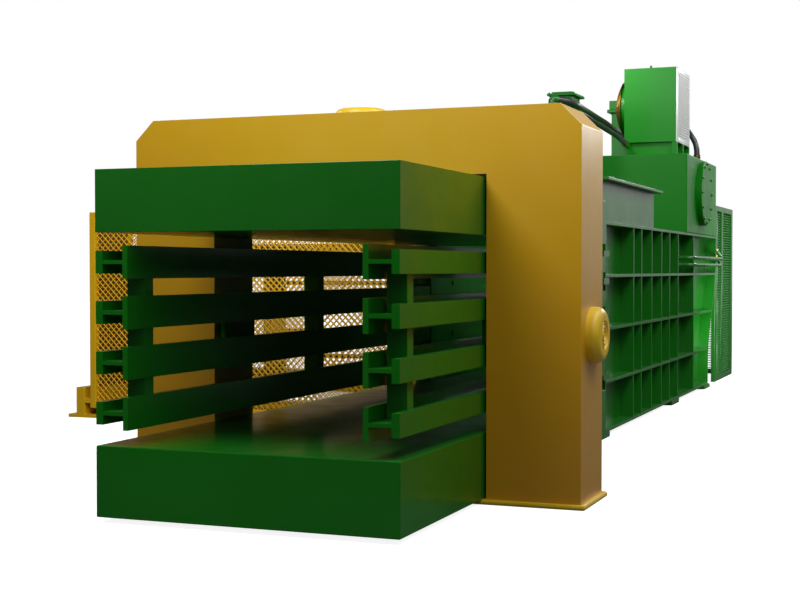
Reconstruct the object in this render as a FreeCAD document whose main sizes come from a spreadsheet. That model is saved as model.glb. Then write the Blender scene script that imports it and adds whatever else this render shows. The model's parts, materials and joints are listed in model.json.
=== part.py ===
import FreeCAD, Part
import math
import os
import re
import Sketcher

# Horizontal recycling baler with a three-sided squeeze portal at the outlet.
# Millimetres. +X is the operator's right seen from the outlet, +Y runs from the outlet to the power end.
# The origin is the centre of the underside of the portal's base plate, on the floor.

sizes = {
    # squeeze portal
    "portalHalf": 1184,
    "portalDepth": 420,
    "portalTop": 1878,
    "portalChamfer": 101,
    "openingHalf": 726,
    "openingTop": 1560,
    "basePlate": 25,
    "baseMargin": 25,
    # bale channel in front of the body
    "channelReach": 1295,
    "channelHalf": 552,
    "blockHalf": 715,
    "blockRear": 2330,
    "floorTop": 340,
    "roofUnder": 1272,
    "upperBeamHeight": 275,
    # side walls made of rails
    "railCount": 4,
    "railPitch": 220,
    "railFirst": 482,
    "railRear": 2319,
    "innerFlangeHeight": 144,
    "innerFlangeThick": 25,
    "innerFlangeRear": 2505,
    "outerFlangeHeight": 100,
    "outerFlangeThick": 35,
    "wallDepth": 161,
    "webThick": 18,
    "postGap": 19,
    "leftPostGap": -18,
    "postWide": 90,
    "postLong": 70,
    "postFrontSet": 153,
    "postMiddleSet": 1990,
    "postRearSet": 3300,
    "pushPlateThick": 25,
    "pushPlateLong": 320,
    # hinges of the three walls
    "hingeX": 640,
    "hingeY": 2425,
    "hingePinRadius": 30,
    "knuckleRadius": 55,
    "knuckleHeight": 100,
    "hingeClear": 0.1,
    "bracketInset": 38,
    "bracketThick": 40,
    "bracketWide": 100,
    "topHingeZ": 1410,
    "topLugWide": 150,
    # squeeze cylinders
    "squeezeHeight": 800,
    "capRadius": 133.5,
    "capRise": 63,
    "capRound": 40,
    "capRecess": 70,
    "capStep": 12,
    "squeezeBore": 110,
    "barrelClear": 0.3,
    "barrelWall": 25,
    "barrelInset": 10,
    "glandLong": 60,
    "rodRadius": 55,
    "rodClear": 0.1,
    "rodSeat": 0.3,
    "rodCrown": 150,
    "pistonLong": 70,
    "pistonBack": 20,
    # press body
    "bodyFront": 2524,
    "bodyHalf": 665,
    "wallPlate": 13,
    "bodyTop": 1426,
    "bodyBottom": 35,
    "bodyRear": 7217,
    "bodyRearLow": 6751,
    "kneeHigh": 1000,
    "kneeLow": 430,
    "kneeRound": 780,
    "ribThick": 20,
    "ribPitchZ": 350,
    "ribLowZ": 368,
    "ribOne": 3414,
    "ribTwo": 3691,
    "ribThree": 4072,
    "ribFour": 4463,
    "ribFive": 4803,
    "ribSix": 5181,
    "ribSeven": 5940,
    "floorThick": 40,
    "bearerLong": 160,
    "roofPlate": 30,
    "crossheadFront": 6600,
    "crossheadThick": 100,
    "footLong": 320,
    "footWide": 127,
    "footOver": 2,
    "footFront": 2336,
    "footMiddle": 4911,
    "footRear": 6546,
    "anchorRadius": 11,
    "anchorSpacing": 220,
    # hopper
    "hopperHalf": 620,
    "hopperFront": 2605,
    "hopperRear": 4355,
    "hopperPlate": 12,
    "flangeUnder": 1700,
    "flangeThick": 20,
    "flangeHalf": 680,
    "flangeOver": 62,
    "flangeBolt": 9,
    "flangeBoltPitch": 290,
    "flangeBoltShift": -54,
    # ram and its cylinder
    "ramFront": 4405,
    "ramLong": 1900,
    "ramSideClear": 3,
    "ramSeat": 0.3,
    "ramTop": 1262,
    "ramFace": 60,
    "slotHeight": 60,
    "bossLong": 40,
    "bossWall": 14,
    "slotDepth": 540,
    "barrelRadius": 150,
    "barrelFront": 6455,
    "barrelRear": 8540,
    "barrelBore": 110,
    "mainRodRadius": 75,
    "mainGland": 100,
    "mainPiston": 100,
    "portHalf": 115,
    "portY": 7335,
    "portTop": 1010,
    "bladeThick": 25,
    "bladeHeight": 60,
    # tank
    "tankFront": 5585,
    "tankRear": 7199,
    "tankTop": 2107,
    "manholeY": 6335,
    "manholeZ": 1798,
    "manholeRadius": 290,
    "manholeThick": 50,
    "manholePitch": 265,
    "manholeBolt": 11,
    # oil cooler
    "coolerLeft": 25,
    "coolerRight": 500,
    "coolerFront": 6005,
    "coolerRear": 6663,
    "standHigh": 142,
    "coolerHigh": 665,
    "coolerPlate": 8,
    "louvreFrontSet": 91,
    "louvreEdge": 40,
    "louvreCount": 25,
    "fanRadius": 250,
    "shroudLong": 100,
    "shroudWall": 8,
    "guardRise": 66,
    "guardWire": 4,
    "guardRings": 5,
    "hubRadius": 70,
    "bladeCount": 6,
    "standInset": 30,
    "legWide": 45,
    # filter column
    "filterX": -191,
    "filterY": 6890,
    "filterHalf": 82,
    "filterHeadHalf": 100,
    "filterTop": 2731,
    "filterHeadUnder": 2646,
    "filterLip": 18,
    "filterLipHigh": 29,
    # valve tower
    "towerLeft": -331,
    "towerRight": -160,
    "towerFront": 4840,
    "towerRear": 5113,
    "towerTop": 2573,
    "towerPlate": 20,
    "towerOver": 33,
    "lidHeight": 14,
    # guards at the power end
    "cageHalf": 625,
    "cageFront": 7440,
    "cageMiddle": 7844,
    "cageRear": 8610,
    "cageTop": 1740,
    "cageBar": 105,
    "cageThick": 40,
    "cageMesh": 3,
    "cageTie": 30,
    # fence and tying unit
    "fenceLeft": -3213,
    "fenceRight": -760,
    "fenceFront": 2376,
    "fenceRear": 2847,
    "fenceTop": 1536,
    "fenceBottom": 74,
    "fencePost": 50,
    "fenceRail": 35,
    "fenceMesh": 3,
    "sidePanelTop": 1575,
    "sidePanelThick": 12,
    "footBeamLeft": -3334,
    "footBeamFlange": 72,
    "footBeamWide": 216,
    "footBeamHeight": 202,
    "footBeamWeb": 32,
    "footPlateLeft": -3406,
    "tieDepth": 120,
    "tieTop": 1299,
    "tieTopUnder": 1100,
    "tieLowTop": 363,
    "tieLowUnder": 210,
    "tieBaseHigh": 120,
    "carriageTop": 1150,
    "carriageUnder": 320,
    "carriageX": -2050,
    "carriageLong": 120,
    "needleY": 2970,
    "needleFirst": 470,
    "needlePitch": 180,
    "needleCount": 4,
    "needleRadius": 16,
    "needleTip": -600,
    "needlePlay": 6,
    # pipes and hoses
    "pipeRadius": 16.5,
    "pipeX": 700,
    "pipeY": 5745,
    "pipeRear": 7363,
    "pipeHigh": 1213,
    "pipeLow": 1151,
    "pipeBend": 60,
    "hoseRadius": 24,
    "suctionRadius": 27,
    "lineRadius": 17,
    "fittingWall": 9,
    "fittingLong": 34,
    "stubRoom": 400,
    "standStub": 80,
    "tankStub": 120,
}

# heights that follow from what carries them
sizes["coolerUnder"] = "=tankTop + standHigh"
sizes["coolerTop"] = "=coolerUnder + coolerHigh"

doc = FreeCAD.newDocument("Baler")
sheet = doc.addObject("Spreadsheet::Sheet", "Sizes")
for row, (alias, value) in enumerate(sizes.items(), start=1):
    sheet.set("A%d" % row, alias)
    sheet.set("B%d" % row, str(value))
    sheet.setAlias("B%d" % row, alias)
doc.recompute()

nodes = []


def size(alias):
    return float(sheet.get(alias))


def formula(text):
    # "portalHalf + 1" becomes "Sizes.portalHalf + 1"
    return re.sub(r"[A-Za-z]\w*",
                  lambda word: "Sizes." + word.group() if word.group() in sizes else word.group(), text)


def bind(thing, prop, text):
    thing.setExpression(prop, formula(text))


def node(thing, label):
    thing.Label = label
    nodes.append(thing)
    return thing


def box(name, xFrom, xTo, yFrom, yTo, zFrom, zTo):
    # a block between six limits
    block = doc.addObject("Part::Box", name)
    bind(block, "Length", "(%s) - (%s)" % (xTo, xFrom))
    bind(block, "Width", "(%s) - (%s)" % (yTo, yFrom))
    bind(block, "Height", "(%s) - (%s)" % (zTo, zFrom))
    bind(block, "Placement.Base.x", xFrom)
    bind(block, "Placement.Base.y", yFrom)
    bind(block, "Placement.Base.z", zFrom)
    return block


turns = {
    "X": FreeCAD.Rotation(FreeCAD.Vector(0, 1, 0), 90),
    "Y": FreeCAD.Rotation(FreeCAD.Vector(1, 0, 0), -90),
    "Z": FreeCAD.Rotation(),
}


def bar(name, axis, x, y, z, radius, length):
    # a round bar that starts at x, y, z and runs along the axis
    round_bar = doc.addObject("Part::Cylinder", name)
    round_bar.Placement = FreeCAD.Placement(FreeCAD.Vector(), turns[axis])
    bind(round_bar, "Radius", radius)
    bind(round_bar, "Height", length)
    bind(round_bar, "Placement.Base.x", x)
    bind(round_bar, "Placement.Base.y", y)
    bind(round_bar, "Placement.Base.z", z)
    return round_bar


def fuse(name, pieces):
    joined = doc.addObject("Part::MultiFuse", name)
    joined.Shapes = pieces
    return joined


def cut(name, base, tools):
    tool = tools[0]
    if len(tools) > 1:
        tool = fuse(name + "_tools", tools)
    left = doc.addObject("Part::Cut", name)
    left.Base = base
    left.Tool = tool
    return left


def group(name, pieces):
    # separate solids that share one node
    together = doc.addObject("Part::Compound", name)
    together.Links = pieces
    return together


def mirrored(name, source):
    copy = doc.addObject("Part::Mirroring", name)
    copy.Source = source
    copy.Normal = FreeCAD.Vector(1, 0, 0)
    return copy


def outline(body, name, plane, points, lift):
    # a closed polygon sketch whose corners are tied to the sheet
    sketch = body.newObject("Sketcher::SketchObject", name + "_outline")
    origin_plane = [item for item in body.Origin.OriginFeatures if item.Role == plane][0]
    sketch.AttachmentSupport = [(origin_plane, "")]
    sketch.MapMode = "FlatFace"
    bind(sketch, "AttachmentOffset.Base.z", lift)
    count = len(points)
    ring = [2 * math.pi * step / count for step in range(count)]
    spots = [FreeCAD.Vector(10 * math.cos(turn), 10 * math.sin(turn), 0) for turn in ring]
    for i in range(count):
        sketch.addGeometry(Part.LineSegment(spots[i], spots[(i + 1) % count]), False)
    for i in range(count):
        sketch.addConstraint(Sketcher.Constraint("Coincident", i, 2, (i + 1) % count, 1))
    for i in range(count):
        across = sketch.addConstraint(Sketcher.Constraint("DistanceX", -1, 1, i, 1, spots[i].x))
        bind(sketch, "Constraints[%d]" % across, points[i][0])
        up = sketch.addConstraint(Sketcher.Constraint("DistanceY", -1, 1, i, 1, spots[i].y))
        bind(sketch, "Constraints[%d]" % up, points[i][1])
    return sketch


def prism(name, plane, points, lift, length, reverse=False):
    # a sketched section padded straight
    body = doc.addObject("PartDesign::Body", name)
    pad = body.newObject("PartDesign::Pad", name + "_pad")
    pad.Profile = outline(body, name, plane, points, lift)
    bind(pad, "Length", length)
    pad.Reversed = reverse
    body.Tip = pad
    return body


def turned(name, points, axis="Z", x="0", y="0", z="0", flip=False):
    # a sketched half section (radius, height) turned about its height axis, then laid along an axis
    body = doc.addObject("PartDesign::Body", name)
    sketch = outline(body, name, "XZ_Plane", points, "0")
    turn = body.newObject("PartDesign::Revolution", name + "_turn")
    turn.Profile = sketch
    turn.ReferenceAxis = (sketch, ["V_Axis"])
    turn.Angle = 360
    body.Tip = turn
    rotation = turns[axis]
    if flip:
        rotation = rotation.multiply(FreeCAD.Rotation(FreeCAD.Vector(1, 0, 0), 180))
    body.Placement = FreeCAD.Placement(FreeCAD.Vector(), rotation)
    bind(body, "Placement.Base.x", x)
    bind(body, "Placement.Base.y", y)
    bind(body, "Placement.Base.z", z)
    return body


def rounded(body, test, radius):
    # a fillet on the edges of the tip that pass the test
    doc.recompute()
    tip = body.Tip
    names = ["Edge%d" % (i + 1) for i, edge in enumerate(tip.Shape.Edges) if test(edge)]
    fillet = body.newObject("PartDesign::Fillet", body.Name + "_round")
    fillet.Base = (tip, names)
    bind(fillet, "Radius", radius)
    body.Tip = fillet
    return body


def frame_of_bars(name, xFrom, xTo, yFrom, yTo, zFrom, zTo, bar_wide, rail_high):
    # four bars round a rectangle that lies in the XZ plane
    left = box(name + "_left", xFrom, "(%s) + (%s)" % (xFrom, bar_wide), yFrom, yTo, zFrom, zTo)
    right = box(name + "_right", "(%s) - (%s)" % (xTo, bar_wide), xTo, yFrom, yTo, zFrom, zTo)
    low = box(name + "_low", xFrom, xTo, yFrom, yTo, zFrom, "(%s) + (%s)" % (zFrom, rail_high))
    high = box(name + "_high", xFrom, xTo, yFrom, yTo, "(%s) - (%s)" % (zTo, rail_high), zTo)
    return [left, right, low, high]


# ---- portal ----

base_plate = box("base_plate", "-portalHalf - baseMargin", "portalHalf + baseMargin",
                 "-portalDepth / 2 - baseMargin", "portalDepth / 2 + baseMargin", "0", "basePlate")
node(base_plate, "portal_base_plate")

arch_points = [
    ("-portalHalf", "basePlate"),
    ("-openingHalf", "basePlate"),
    ("-openingHalf", "openingTop"),
    ("openingHalf", "openingTop"),
    ("openingHalf", "basePlate"),
    ("portalHalf", "basePlate"),
    ("portalHalf", "portalTop - portalChamfer"),
    ("portalHalf - portalChamfer", "portalTop"),
    ("-portalHalf + portalChamfer", "portalTop"),
    ("-portalHalf", "portalTop - portalChamfer"),
]
arch = prism("arch", "XZ_Plane", arch_points, "portalDepth / 2", "portalDepth", True)
side_bore = bar("side_bore", "X", "-portalHalf - 1", "0", "squeezeHeight", "squeezeBore",
                "portalHalf * 2 + 2")
top_bore = bar("top_bore", "Z", "0", "0", "openingTop - 1", "squeezeBore", "portalTop - openingTop + 2")
node(cut("portal_with_bores", arch, [side_bore, top_bore]), "portal_frame")


# ---- squeeze cylinders in the portal ----

def cylinder_cap(label, axis, x, y, z, flip):
    # a turned cover with a rounded shoulder and a ringed recess in its middle
    points = [
        ("0", "0"),
        ("capRadius", "0"),
        ("capRadius", "capRise"),
        ("capRecess", "capRise"),
        ("capRecess - capStep / 3", "capRise - capStep"),
        ("capRecess - capStep * 1.5", "capRise - capStep"),
        ("capRecess - capStep * 1.8", "capRise - capStep / 3"),
        ("capRecess - capStep * 3", "capRise - capStep / 3"),
        ("capRecess - capStep * 3.4", "capRise - capStep"),
        ("0", "capRise - capStep"),
    ]
    cap = turned(label + "_body", points, axis, x, y, z, flip)

    def shoulder(edge):
        curve = edge.Curve
        if not hasattr(curve, "Radius"):
            return False
        return abs(curve.Radius - size("capRadius")) < 0.01 and abs(curve.Center.z - size("capRise")) < 0.01

    rounded(cap, shoulder, "capRound")
    return node(cap, label)


def squeeze_barrel(label, axis, x, y, z, flip, length):
    # height 0 is the cap end, the gland is at the far end
    outer = "squeezeBore - barrelClear"
    inner = "squeezeBore - barrelClear - barrelWall"
    mouth = "rodRadius + rodClear"
    points = [
        (inner, "0"),
        (outer, "0"),
        (outer, length),
        (mouth, length),
        (mouth, "(%s) - glandLong" % length),
        (inner, "(%s) - glandLong" % length),
    ]
    return node(turned(label + "_body", points, axis, x, y, z, flip), label)


def squeeze_rod(label, axis, x, y, z, flip, length):
    # a rod with a crowned end and a piston; height 0 is the piston's back
    piston = "squeezeBore - barrelClear - barrelWall - rodClear"
    sag = "(rodCrown - sqrt(rodCrown ^ 2 - rodRadius ^ 2))"
    points = [
        ("0", "0"),
        (piston, "0"),
        (piston, "pistonLong"),
        ("rodRadius", "pistonLong"),
        ("rodRadius", "(%s) - %s" % (length, sag)),
        ("rodRadius * 0.5", "(%s) - (rodCrown - sqrt(rodCrown ^ 2 - (rodRadius * 0.5) ^ 2))" % length),
        ("rodRadius * 0.25", "(%s) - (rodCrown - sqrt(rodCrown ^ 2 - (rodRadius * 0.25) ^ 2))" % length),
        ("0", length),
    ]
    return node(turned(label + "_body", points, axis, x, y, z, flip), label)


side_barrel = "portalHalf - openingHalf - barrelInset"
side_rod = "portalHalf - pistonBack - (channelHalf + wallDepth) - rodSeat"
top_barrel = "portalTop - openingTop - barrelInset"
top_rod = "portalTop - pistonBack - (roofUnder + upperBeamHeight) - rodSeat"
cylinder_cap("right_cylinder_cap", "X", "portalHalf", "0", "squeezeHeight", False)
cylinder_cap("left_cylinder_cap", "X", "-portalHalf", "0", "squeezeHeight", True)
cylinder_cap("top_cylinder_cap", "Z", "0", "0", "portalTop", False)
squeeze_barrel("right_squeeze_barrel", "X", "portalHalf", "0", "squeezeHeight", True, side_barrel)
squeeze_barrel("left_squeeze_barrel", "X", "-portalHalf", "0", "squeezeHeight", False, side_barrel)
squeeze_barrel("top_squeeze_barrel", "Z", "0", "0", "portalTop", True, top_barrel)
squeeze_rod("right_squeeze_rod", "X", "portalHalf - pistonBack", "0", "squeezeHeight", True, side_rod)
squeeze_rod("left_squeeze_rod", "X", "-portalHalf + pistonBack", "0", "squeezeHeight", False, side_rod)
squeeze_rod("top_squeeze_rod", "Z", "0", "0", "portalTop - pistonBack", True, top_rod)

# ---- bale channel: lower block, upper beam and the two railed side walls ----

node(box("block", "-blockHalf", "blockHalf", "-channelReach", "blockRear", "basePlate", "floorTop"),
     "channel_block")

upper_block = box("upper_block", "-blockHalf", "blockHalf", "-channelReach", "railRear",
                  "roofUnder", "roofUnder + upperBeamHeight")
lug_places = ["-blockHalf + topLugWide", "blockHalf - topLugWide * 2"]
lugs = []
for i, place in enumerate(lug_places):
    plate = box("top_lug%d" % i, place, "(%s) + topLugWide" % place, "railRear", "hingeY",
                "topHingeZ - knuckleRadius", "topHingeZ + knuckleRadius")
    eye = bar("top_eye%d" % i, "X", place, "hingeY", "topHingeZ", "knuckleRadius", "topLugWide")
    lugs += [plate, eye]
pin_hole = bar("top_pin_hole", "X", "-blockHalf", "hingeY", "topHingeZ", "hingePinRadius + hingeClear",
               "blockHalf * 2")
node(cut("upper_beam_holes", fuse("upper_beam_body", [upper_block] + lugs), [pin_hole]), "upper_beam")

inner_low = "railFirst - innerFlangeHeight / 2"
inner_high = "railFirst + innerFlangeHeight / 2"
outer_low = "railFirst - outerFlangeHeight / 2"
outer_high = "railFirst + outerFlangeHeight / 2"
web_low = "railFirst - webThick / 2"
web_high = "railFirst + webThick / 2"
inner_back = "channelHalf + innerFlangeThick"
outer_face = "channelHalf + wallDepth"
outer_back = "channelHalf + wallDepth - outerFlangeThick"
rail_points = [
    ("channelHalf", inner_low),
    (inner_back, inner_low),
    (inner_back, web_low),
    (outer_back, web_low),
    (outer_back, outer_low),
    (outer_face, outer_low),
    (outer_face, outer_high),
    (outer_back, outer_high),
    (outer_back, web_high),
    (inner_back, web_high),
    (inner_back, inner_high),
    ("channelHalf", inner_high),
]
rails = prism("rails", "XZ_Plane", rail_points, "channelReach", "channelReach + railRear", True)
rail_row = rails.newObject("PartDesign::LinearPattern", "rail_row")
rail_row.Originals = [rails.Tip]
rail_row.Direction = (rails.Tip.Profile[0], ["V_Axis"])
bind(rail_row, "Length", "railPitch * (railCount - 1)")
bind(rail_row, "Occurrences", "railCount")
rails.Tip = rail_row

rail_last = "railFirst + railPitch * (railCount - 1)"


def wall_posts(side, gap):
    posts = []
    for i, place in enumerate(["postFrontSet", "postMiddleSet", "postRearSet"]):
        start = "%s - channelReach" % place
        near = "%s + %s" % (inner_back, gap)
        posts.append(box("%s_post%d" % (side, i), near, "%s + postWide" % near, start,
                         "%s + postLong" % start, web_low, "%s + webThick / 2" % rail_last))
    return posts


wall_pieces = [rails]
wall_pieces.append(box("push_plate", "%s - pushPlateThick" % outer_face, outer_face,
                       "-pushPlateLong / 2", "pushPlateLong / 2",
                       "railFirst + railPitch", "railFirst + railPitch * 2"))
for i in range(int(sizes["railCount"])):
    level = "railFirst + railPitch * %d" % i
    wall_pieces.append(box("rail_heel%d" % i, "channelHalf", inner_back, "railRear", "innerFlangeRear",
                           "%s - innerFlangeHeight / 2" % level, "%s + innerFlangeHeight / 2" % level))
    wall_pieces.append(box("rail_tongue%d" % i, inner_back, "hingeX + knuckleRadius", "railRear", "hingeY",
                           "%s - webThick / 2" % level, "%s + webThick / 2" % level))
    wall_pieces.append(bar("rail_knuckle%d" % i, "Z", "hingeX", "hingeY", "%s - knuckleHeight / 2" % level,
                           "knuckleRadius", "knuckleHeight"))
wall_hole = bar("wall_hole", "Z", "hingeX", "hingeY", "railFirst - railPitch", "hingePinRadius + hingeClear",
                "railPitch * (railCount + 1)")
right_wall = fuse("right_wall_solid", wall_pieces + wall_posts("right", "postGap"))
node(cut("right_wall_body", right_wall, [wall_hole]), "right_side_wall")
left_wall = fuse("left_wall_solid", wall_pieces + wall_posts("left", "leftPostGap"))
node(mirrored("left_wall_body", cut("left_wall_cut", left_wall, [wall_hole])), "left_side_wall")

# ---- hinge pins and the brackets that hold them on the body ----

pin_low = "railFirst - knuckleHeight / 2 - bracketThick - rodSeat"
pin_high = "%s + knuckleHeight / 2 + bracketThick + rodSeat" % rail_last
right_pin = bar("right_pin", "Z", "hingeX", "hingeY", pin_low, "hingePinRadius",
                "(%s) - (%s)" % (pin_high, pin_low))
left_pin = bar("left_pin", "Z", "-hingeX", "hingeY", pin_low, "hingePinRadius",
               "(%s) - (%s)" % (pin_high, pin_low))
top_pin = bar("top_pin", "X", "-blockHalf + topLugWide - bracketWide", "hingeY", "topHingeZ",
              "hingePinRadius",
              "(blockHalf - topLugWide + bracketWide) * 2")
node(group("pins", [right_pin, left_pin, top_pin]), "hinge_pins")

bracket_left = "channelHalf + bracketInset"
bracket_right = "channelHalf + bracketInset + bracketWide"
bracket_levels = ["railFirst + railPitch * %d + railPitch / 2 - bracketThick / 2" % i
                  for i in range(int(sizes["railCount"]) - 1)]
bracket_levels = [pin_low] + bracket_levels + ["%s + knuckleHeight / 2 + rodSeat" % rail_last]
brackets = []
for i, level in enumerate(bracket_levels):
    plate = box("bracket_plate%d" % i, bracket_left, bracket_right, "hingeY - knuckleRadius", "bodyFront",
                level, "%s + bracketThick" % level)
    hole = bar("bracket_hole%d" % i, "Z", "hingeX", "hingeY", level, "hingePinRadius", "bracketThick")
    right_bracket = cut("right_bracket%d" % i, plate, [hole])
    brackets += [right_bracket, mirrored("left_bracket%d" % i, right_bracket)]
top_bracket_places = ["-blockHalf + topLugWide - bracketWide - rodSeat",
                      "-blockHalf + topLugWide * 2 + rodSeat",
                      "blockHalf - topLugWide * 2 - bracketWide - rodSeat",
                      "blockHalf - topLugWide + rodSeat"]
for i, place in enumerate(top_bracket_places):
    plate = box("top_bracket_plate%d" % i, place, "(%s) + bracketWide" % place, "hingeY - knuckleRadius",
                "bodyFront",
                "topHingeZ - knuckleRadius", "topHingeZ + knuckleRadius")
    hole = bar("top_bracket_hole%d" % i, "X", place, "hingeY", "topHingeZ", "hingePinRadius", "bracketWide")
    brackets.append(cut("top_bracket%d" % i, plate, [hole]))
node(group("brackets", brackets), "hinge_brackets")


# ---- press body ----

def knee_edge(edge):
    # the two edges across the wall where its rear outline changes slope
    if len(edge.Vertexes) != 2:
        return False
    first = edge.Vertexes[0].Point
    second = edge.Vertexes[1].Point
    level = min(abs(first.z - size("kneeHigh")), abs(first.z - size("kneeLow")))
    return abs(first.z - second.z) < 0.01 and abs(first.y - second.y) < 0.01 and level < 0.01


def wall_outline(name, front, rear, rear_low, x_from, thick):
    points = [
        (front, "bodyBottom"),
        (rear_low, "bodyBottom"),
        (rear_low, "kneeLow"),
        (rear, "kneeHigh"),
        (rear, "bodyTop"),
        (front, "bodyTop"),
    ]
    return rounded(prism(name, "YZ_Plane", points, x_from, thick), knee_edge, "kneeRound")


rib_start = "channelHalf + wallPlate"
rib_depth = "bodyHalf - channelHalf - wallPlate"
wall_sheet = wall_outline("wall_sheet", "bodyFront", "bodyRear", "bodyRearLow", "channelHalf", "wallPlate")
rib_space = wall_outline("rib_space", "bodyFront", "bodyRear", "bodyRearLow", rib_start, rib_depth)
rib_inside = wall_outline("rib_inside", "bodyFront - 1", "bodyRear - ribThick", "bodyRearLow - ribThick",
                          rib_start, rib_depth)
rear_rib = cut("rear_rib", rib_space, [rib_inside])

rib_bars = []
rib_stations = ["bodyFront + ribThick / 2", "ribOne", "ribTwo", "ribThree", "ribFour", "ribFive", "ribSix",
                "ribSeven"]
for i, station in enumerate(rib_stations):
    rib_bars.append(box("upright_rib%d" % i, rib_start, "bodyHalf", "%s - ribThick / 2" % station,
                        "%s + ribThick / 2" % station, "bodyBottom", "bodyTop"))
rib_levels = ["bodyBottom + ribThick / 2", "ribLowZ", "ribLowZ + ribPitchZ", "ribLowZ + ribPitchZ * 2",
              "bodyTop - ribThick / 2"]
for i, level in enumerate(rib_levels):
    rib_bars.append(box("level_rib%d" % i, rib_start, "bodyHalf", "bodyFront", "bodyRear",
                        "%s - ribThick / 2" % level, "%s + ribThick / 2" % level))
rib_space_again = wall_outline("rib_limit", "bodyFront", "bodyRear", "bodyRearLow", rib_start, rib_depth)
rib_grid = doc.addObject("Part::Common", "rib_grid")
rib_grid.Base = fuse("rib_bars", rib_bars)
rib_grid.Tool = rib_space_again
right_body = node(fuse("right_body_solid", [wall_sheet, rib_grid, rear_rib]), "right_body_wall")

needle_bosses = []
needle_holes = []
for i in range(int(sizes["needleCount"])):
    level = "needleFirst + needlePitch * %d" % i
    needle_bosses.append(bar("needle_boss%d" % i, "X", "-channelHalf - wallPlate - bossLong", "needleY",
                             level, "needleRadius + needlePlay + bossWall", "bossLong + wallPlate / 2"))
    needle_holes.append(bar("needle_hole%d" % i, "X", "-bodyHalf - 1", "needleY", level,
                            "needleRadius + needlePlay", "bodyHalf - channelHalf + 2"))
left_body = fuse("left_body_solid", [mirrored("left_body_copy", right_body)] + needle_bosses)
node(cut("left_body_holes", left_body, needle_holes), "left_body_wall")

floor_plate = box("floor_plate", "-channelHalf", "channelHalf", "blockRear", "crossheadFront",
                  "floorTop - floorThick", "floorTop")
floor_pieces = [floor_plate]
for i, place in enumerate(["bodyFront", "footMiddle", "crossheadFront - bearerLong"]):
    floor_pieces.append(box("bearer%d" % i, "-channelHalf", "channelHalf", place, "%s + bearerLong" % place,
                            "bodyBottom", "floorTop - floorThick"))
node(fuse("floor_solid", floor_pieces), "body_floor")

front_roof = box("front_roof", "-channelHalf", "channelHalf", "bodyFront", "hopperFront + hopperPlate * 3",
                 "roofUnder", "bodyTop")
rear_roof = box("rear_roof", "-channelHalf", "channelHalf", "hopperRear - hopperPlate * 2", "bodyRear",
                "bodyTop - roofPlate", "bodyTop")
node(group("roof", [front_roof, rear_roof]), "body_roof")

node(box("blade", "-channelHalf", "channelHalf", "hopperFront + hopperPlate * 3",
         "hopperFront + hopperPlate * 3 + bladeThick", "roofUnder", "roofUnder + bladeHeight"),
         "shear_blade")

crosshead_plate = box("crosshead_plate", "-channelHalf", "channelHalf", "crossheadFront",
                      "crossheadFront + crossheadThick", "bodyBottom", "bodyTop - roofPlate")
crosshead_hole = bar("crosshead_hole", "Y", "0", "crossheadFront", "squeezeHeight", "barrelRadius",
                     "crossheadThick")
node(cut("crosshead_solid", crosshead_plate, [crosshead_hole]), "cylinder_crosshead")

feet = []
for i, place in enumerate(["footFront", "footMiddle", "footRear"]):
    plate = box("foot_plate%d" % i, "bodyHalf + footOver - footWide", "bodyHalf + footOver", place,
                "%s + footLong" % place, "0", "bodyBottom")
    middle = "%s + footLong / 2" % place
    holes = [bar("foot_hole%d%d" % (i, side), "Z", "bodyHalf + footOver - footWide / 2",
                 "%s + anchorSpacing / 2 * %d" % (middle, side), "0", "anchorRadius", "bodyBottom")
             for side in (-1, 1)]
    foot = cut("foot%d" % i, plate, holes)
    feet += [foot, mirrored("left_foot%d" % i, foot)]
node(group("feet", feet), "body_feet")

# ---- hopper collar and its bolted flange ----

collar_outside = box("collar_outside", "-hopperHalf", "hopperHalf", "hopperFront", "hopperRear", "bodyTop",
                     "flangeUnder")
collar_inside = box("collar_inside", "-hopperHalf + hopperPlate", "hopperHalf - hopperPlate",
                    "hopperFront + hopperPlate", "hopperRear - hopperPlate", "bodyTop - 1",
                    "flangeUnder + 1")
node(cut("collar", collar_outside, [collar_inside]), "hopper_collar")
flange_outside = box("flange_outside", "-flangeHalf", "flangeHalf", "hopperFront - flangeOver",
                     "hopperRear + flangeOver", "flangeUnder", "flangeUnder + flangeThick")
flange_inside = box("flange_inside", "-hopperHalf + hopperPlate", "hopperHalf - hopperPlate",
                    "hopperFront + hopperPlate", "hopperRear - hopperPlate", "flangeUnder - 1",
                    "flangeUnder + flangeThick + 1")
node(cut("flange", flange_outside, [flange_inside]), "hopper_flange")


def hex_head(name, x, y, z, radius, height, axis="Z"):
    head = doc.addObject("Part::Prism", name)
    head.Polygon = 6
    head.Placement = FreeCAD.Placement(FreeCAD.Vector(), turns[axis])
    bind(head, "Circumradius", radius)
    bind(head, "Height", height)
    bind(head, "Placement.Base.x", x)
    bind(head, "Placement.Base.y", y)
    bind(head, "Placement.Base.z", z)
    return head


flange_bolts = []
for side in (-1, 1):
    for i in range(6):
        step = "flangeBoltShift + flangeBoltPitch * %.1f" % (i - 2.5)
        flange_bolts.append(hex_head("flange_bolt%d%d" % (i, side + 1),
                                     "(flangeHalf - flangeBolt * 2) * %d" % side,
                                     "(hopperFront + hopperRear) / 2 + %s" % step,
                                     "flangeUnder + flangeThick", "flangeBolt * 1.6", "flangeBolt"))
node(group("flange_bolt_set", flange_bolts), "hopper_bolts")

# ---- ram, its cylinder and rod ----

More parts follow.
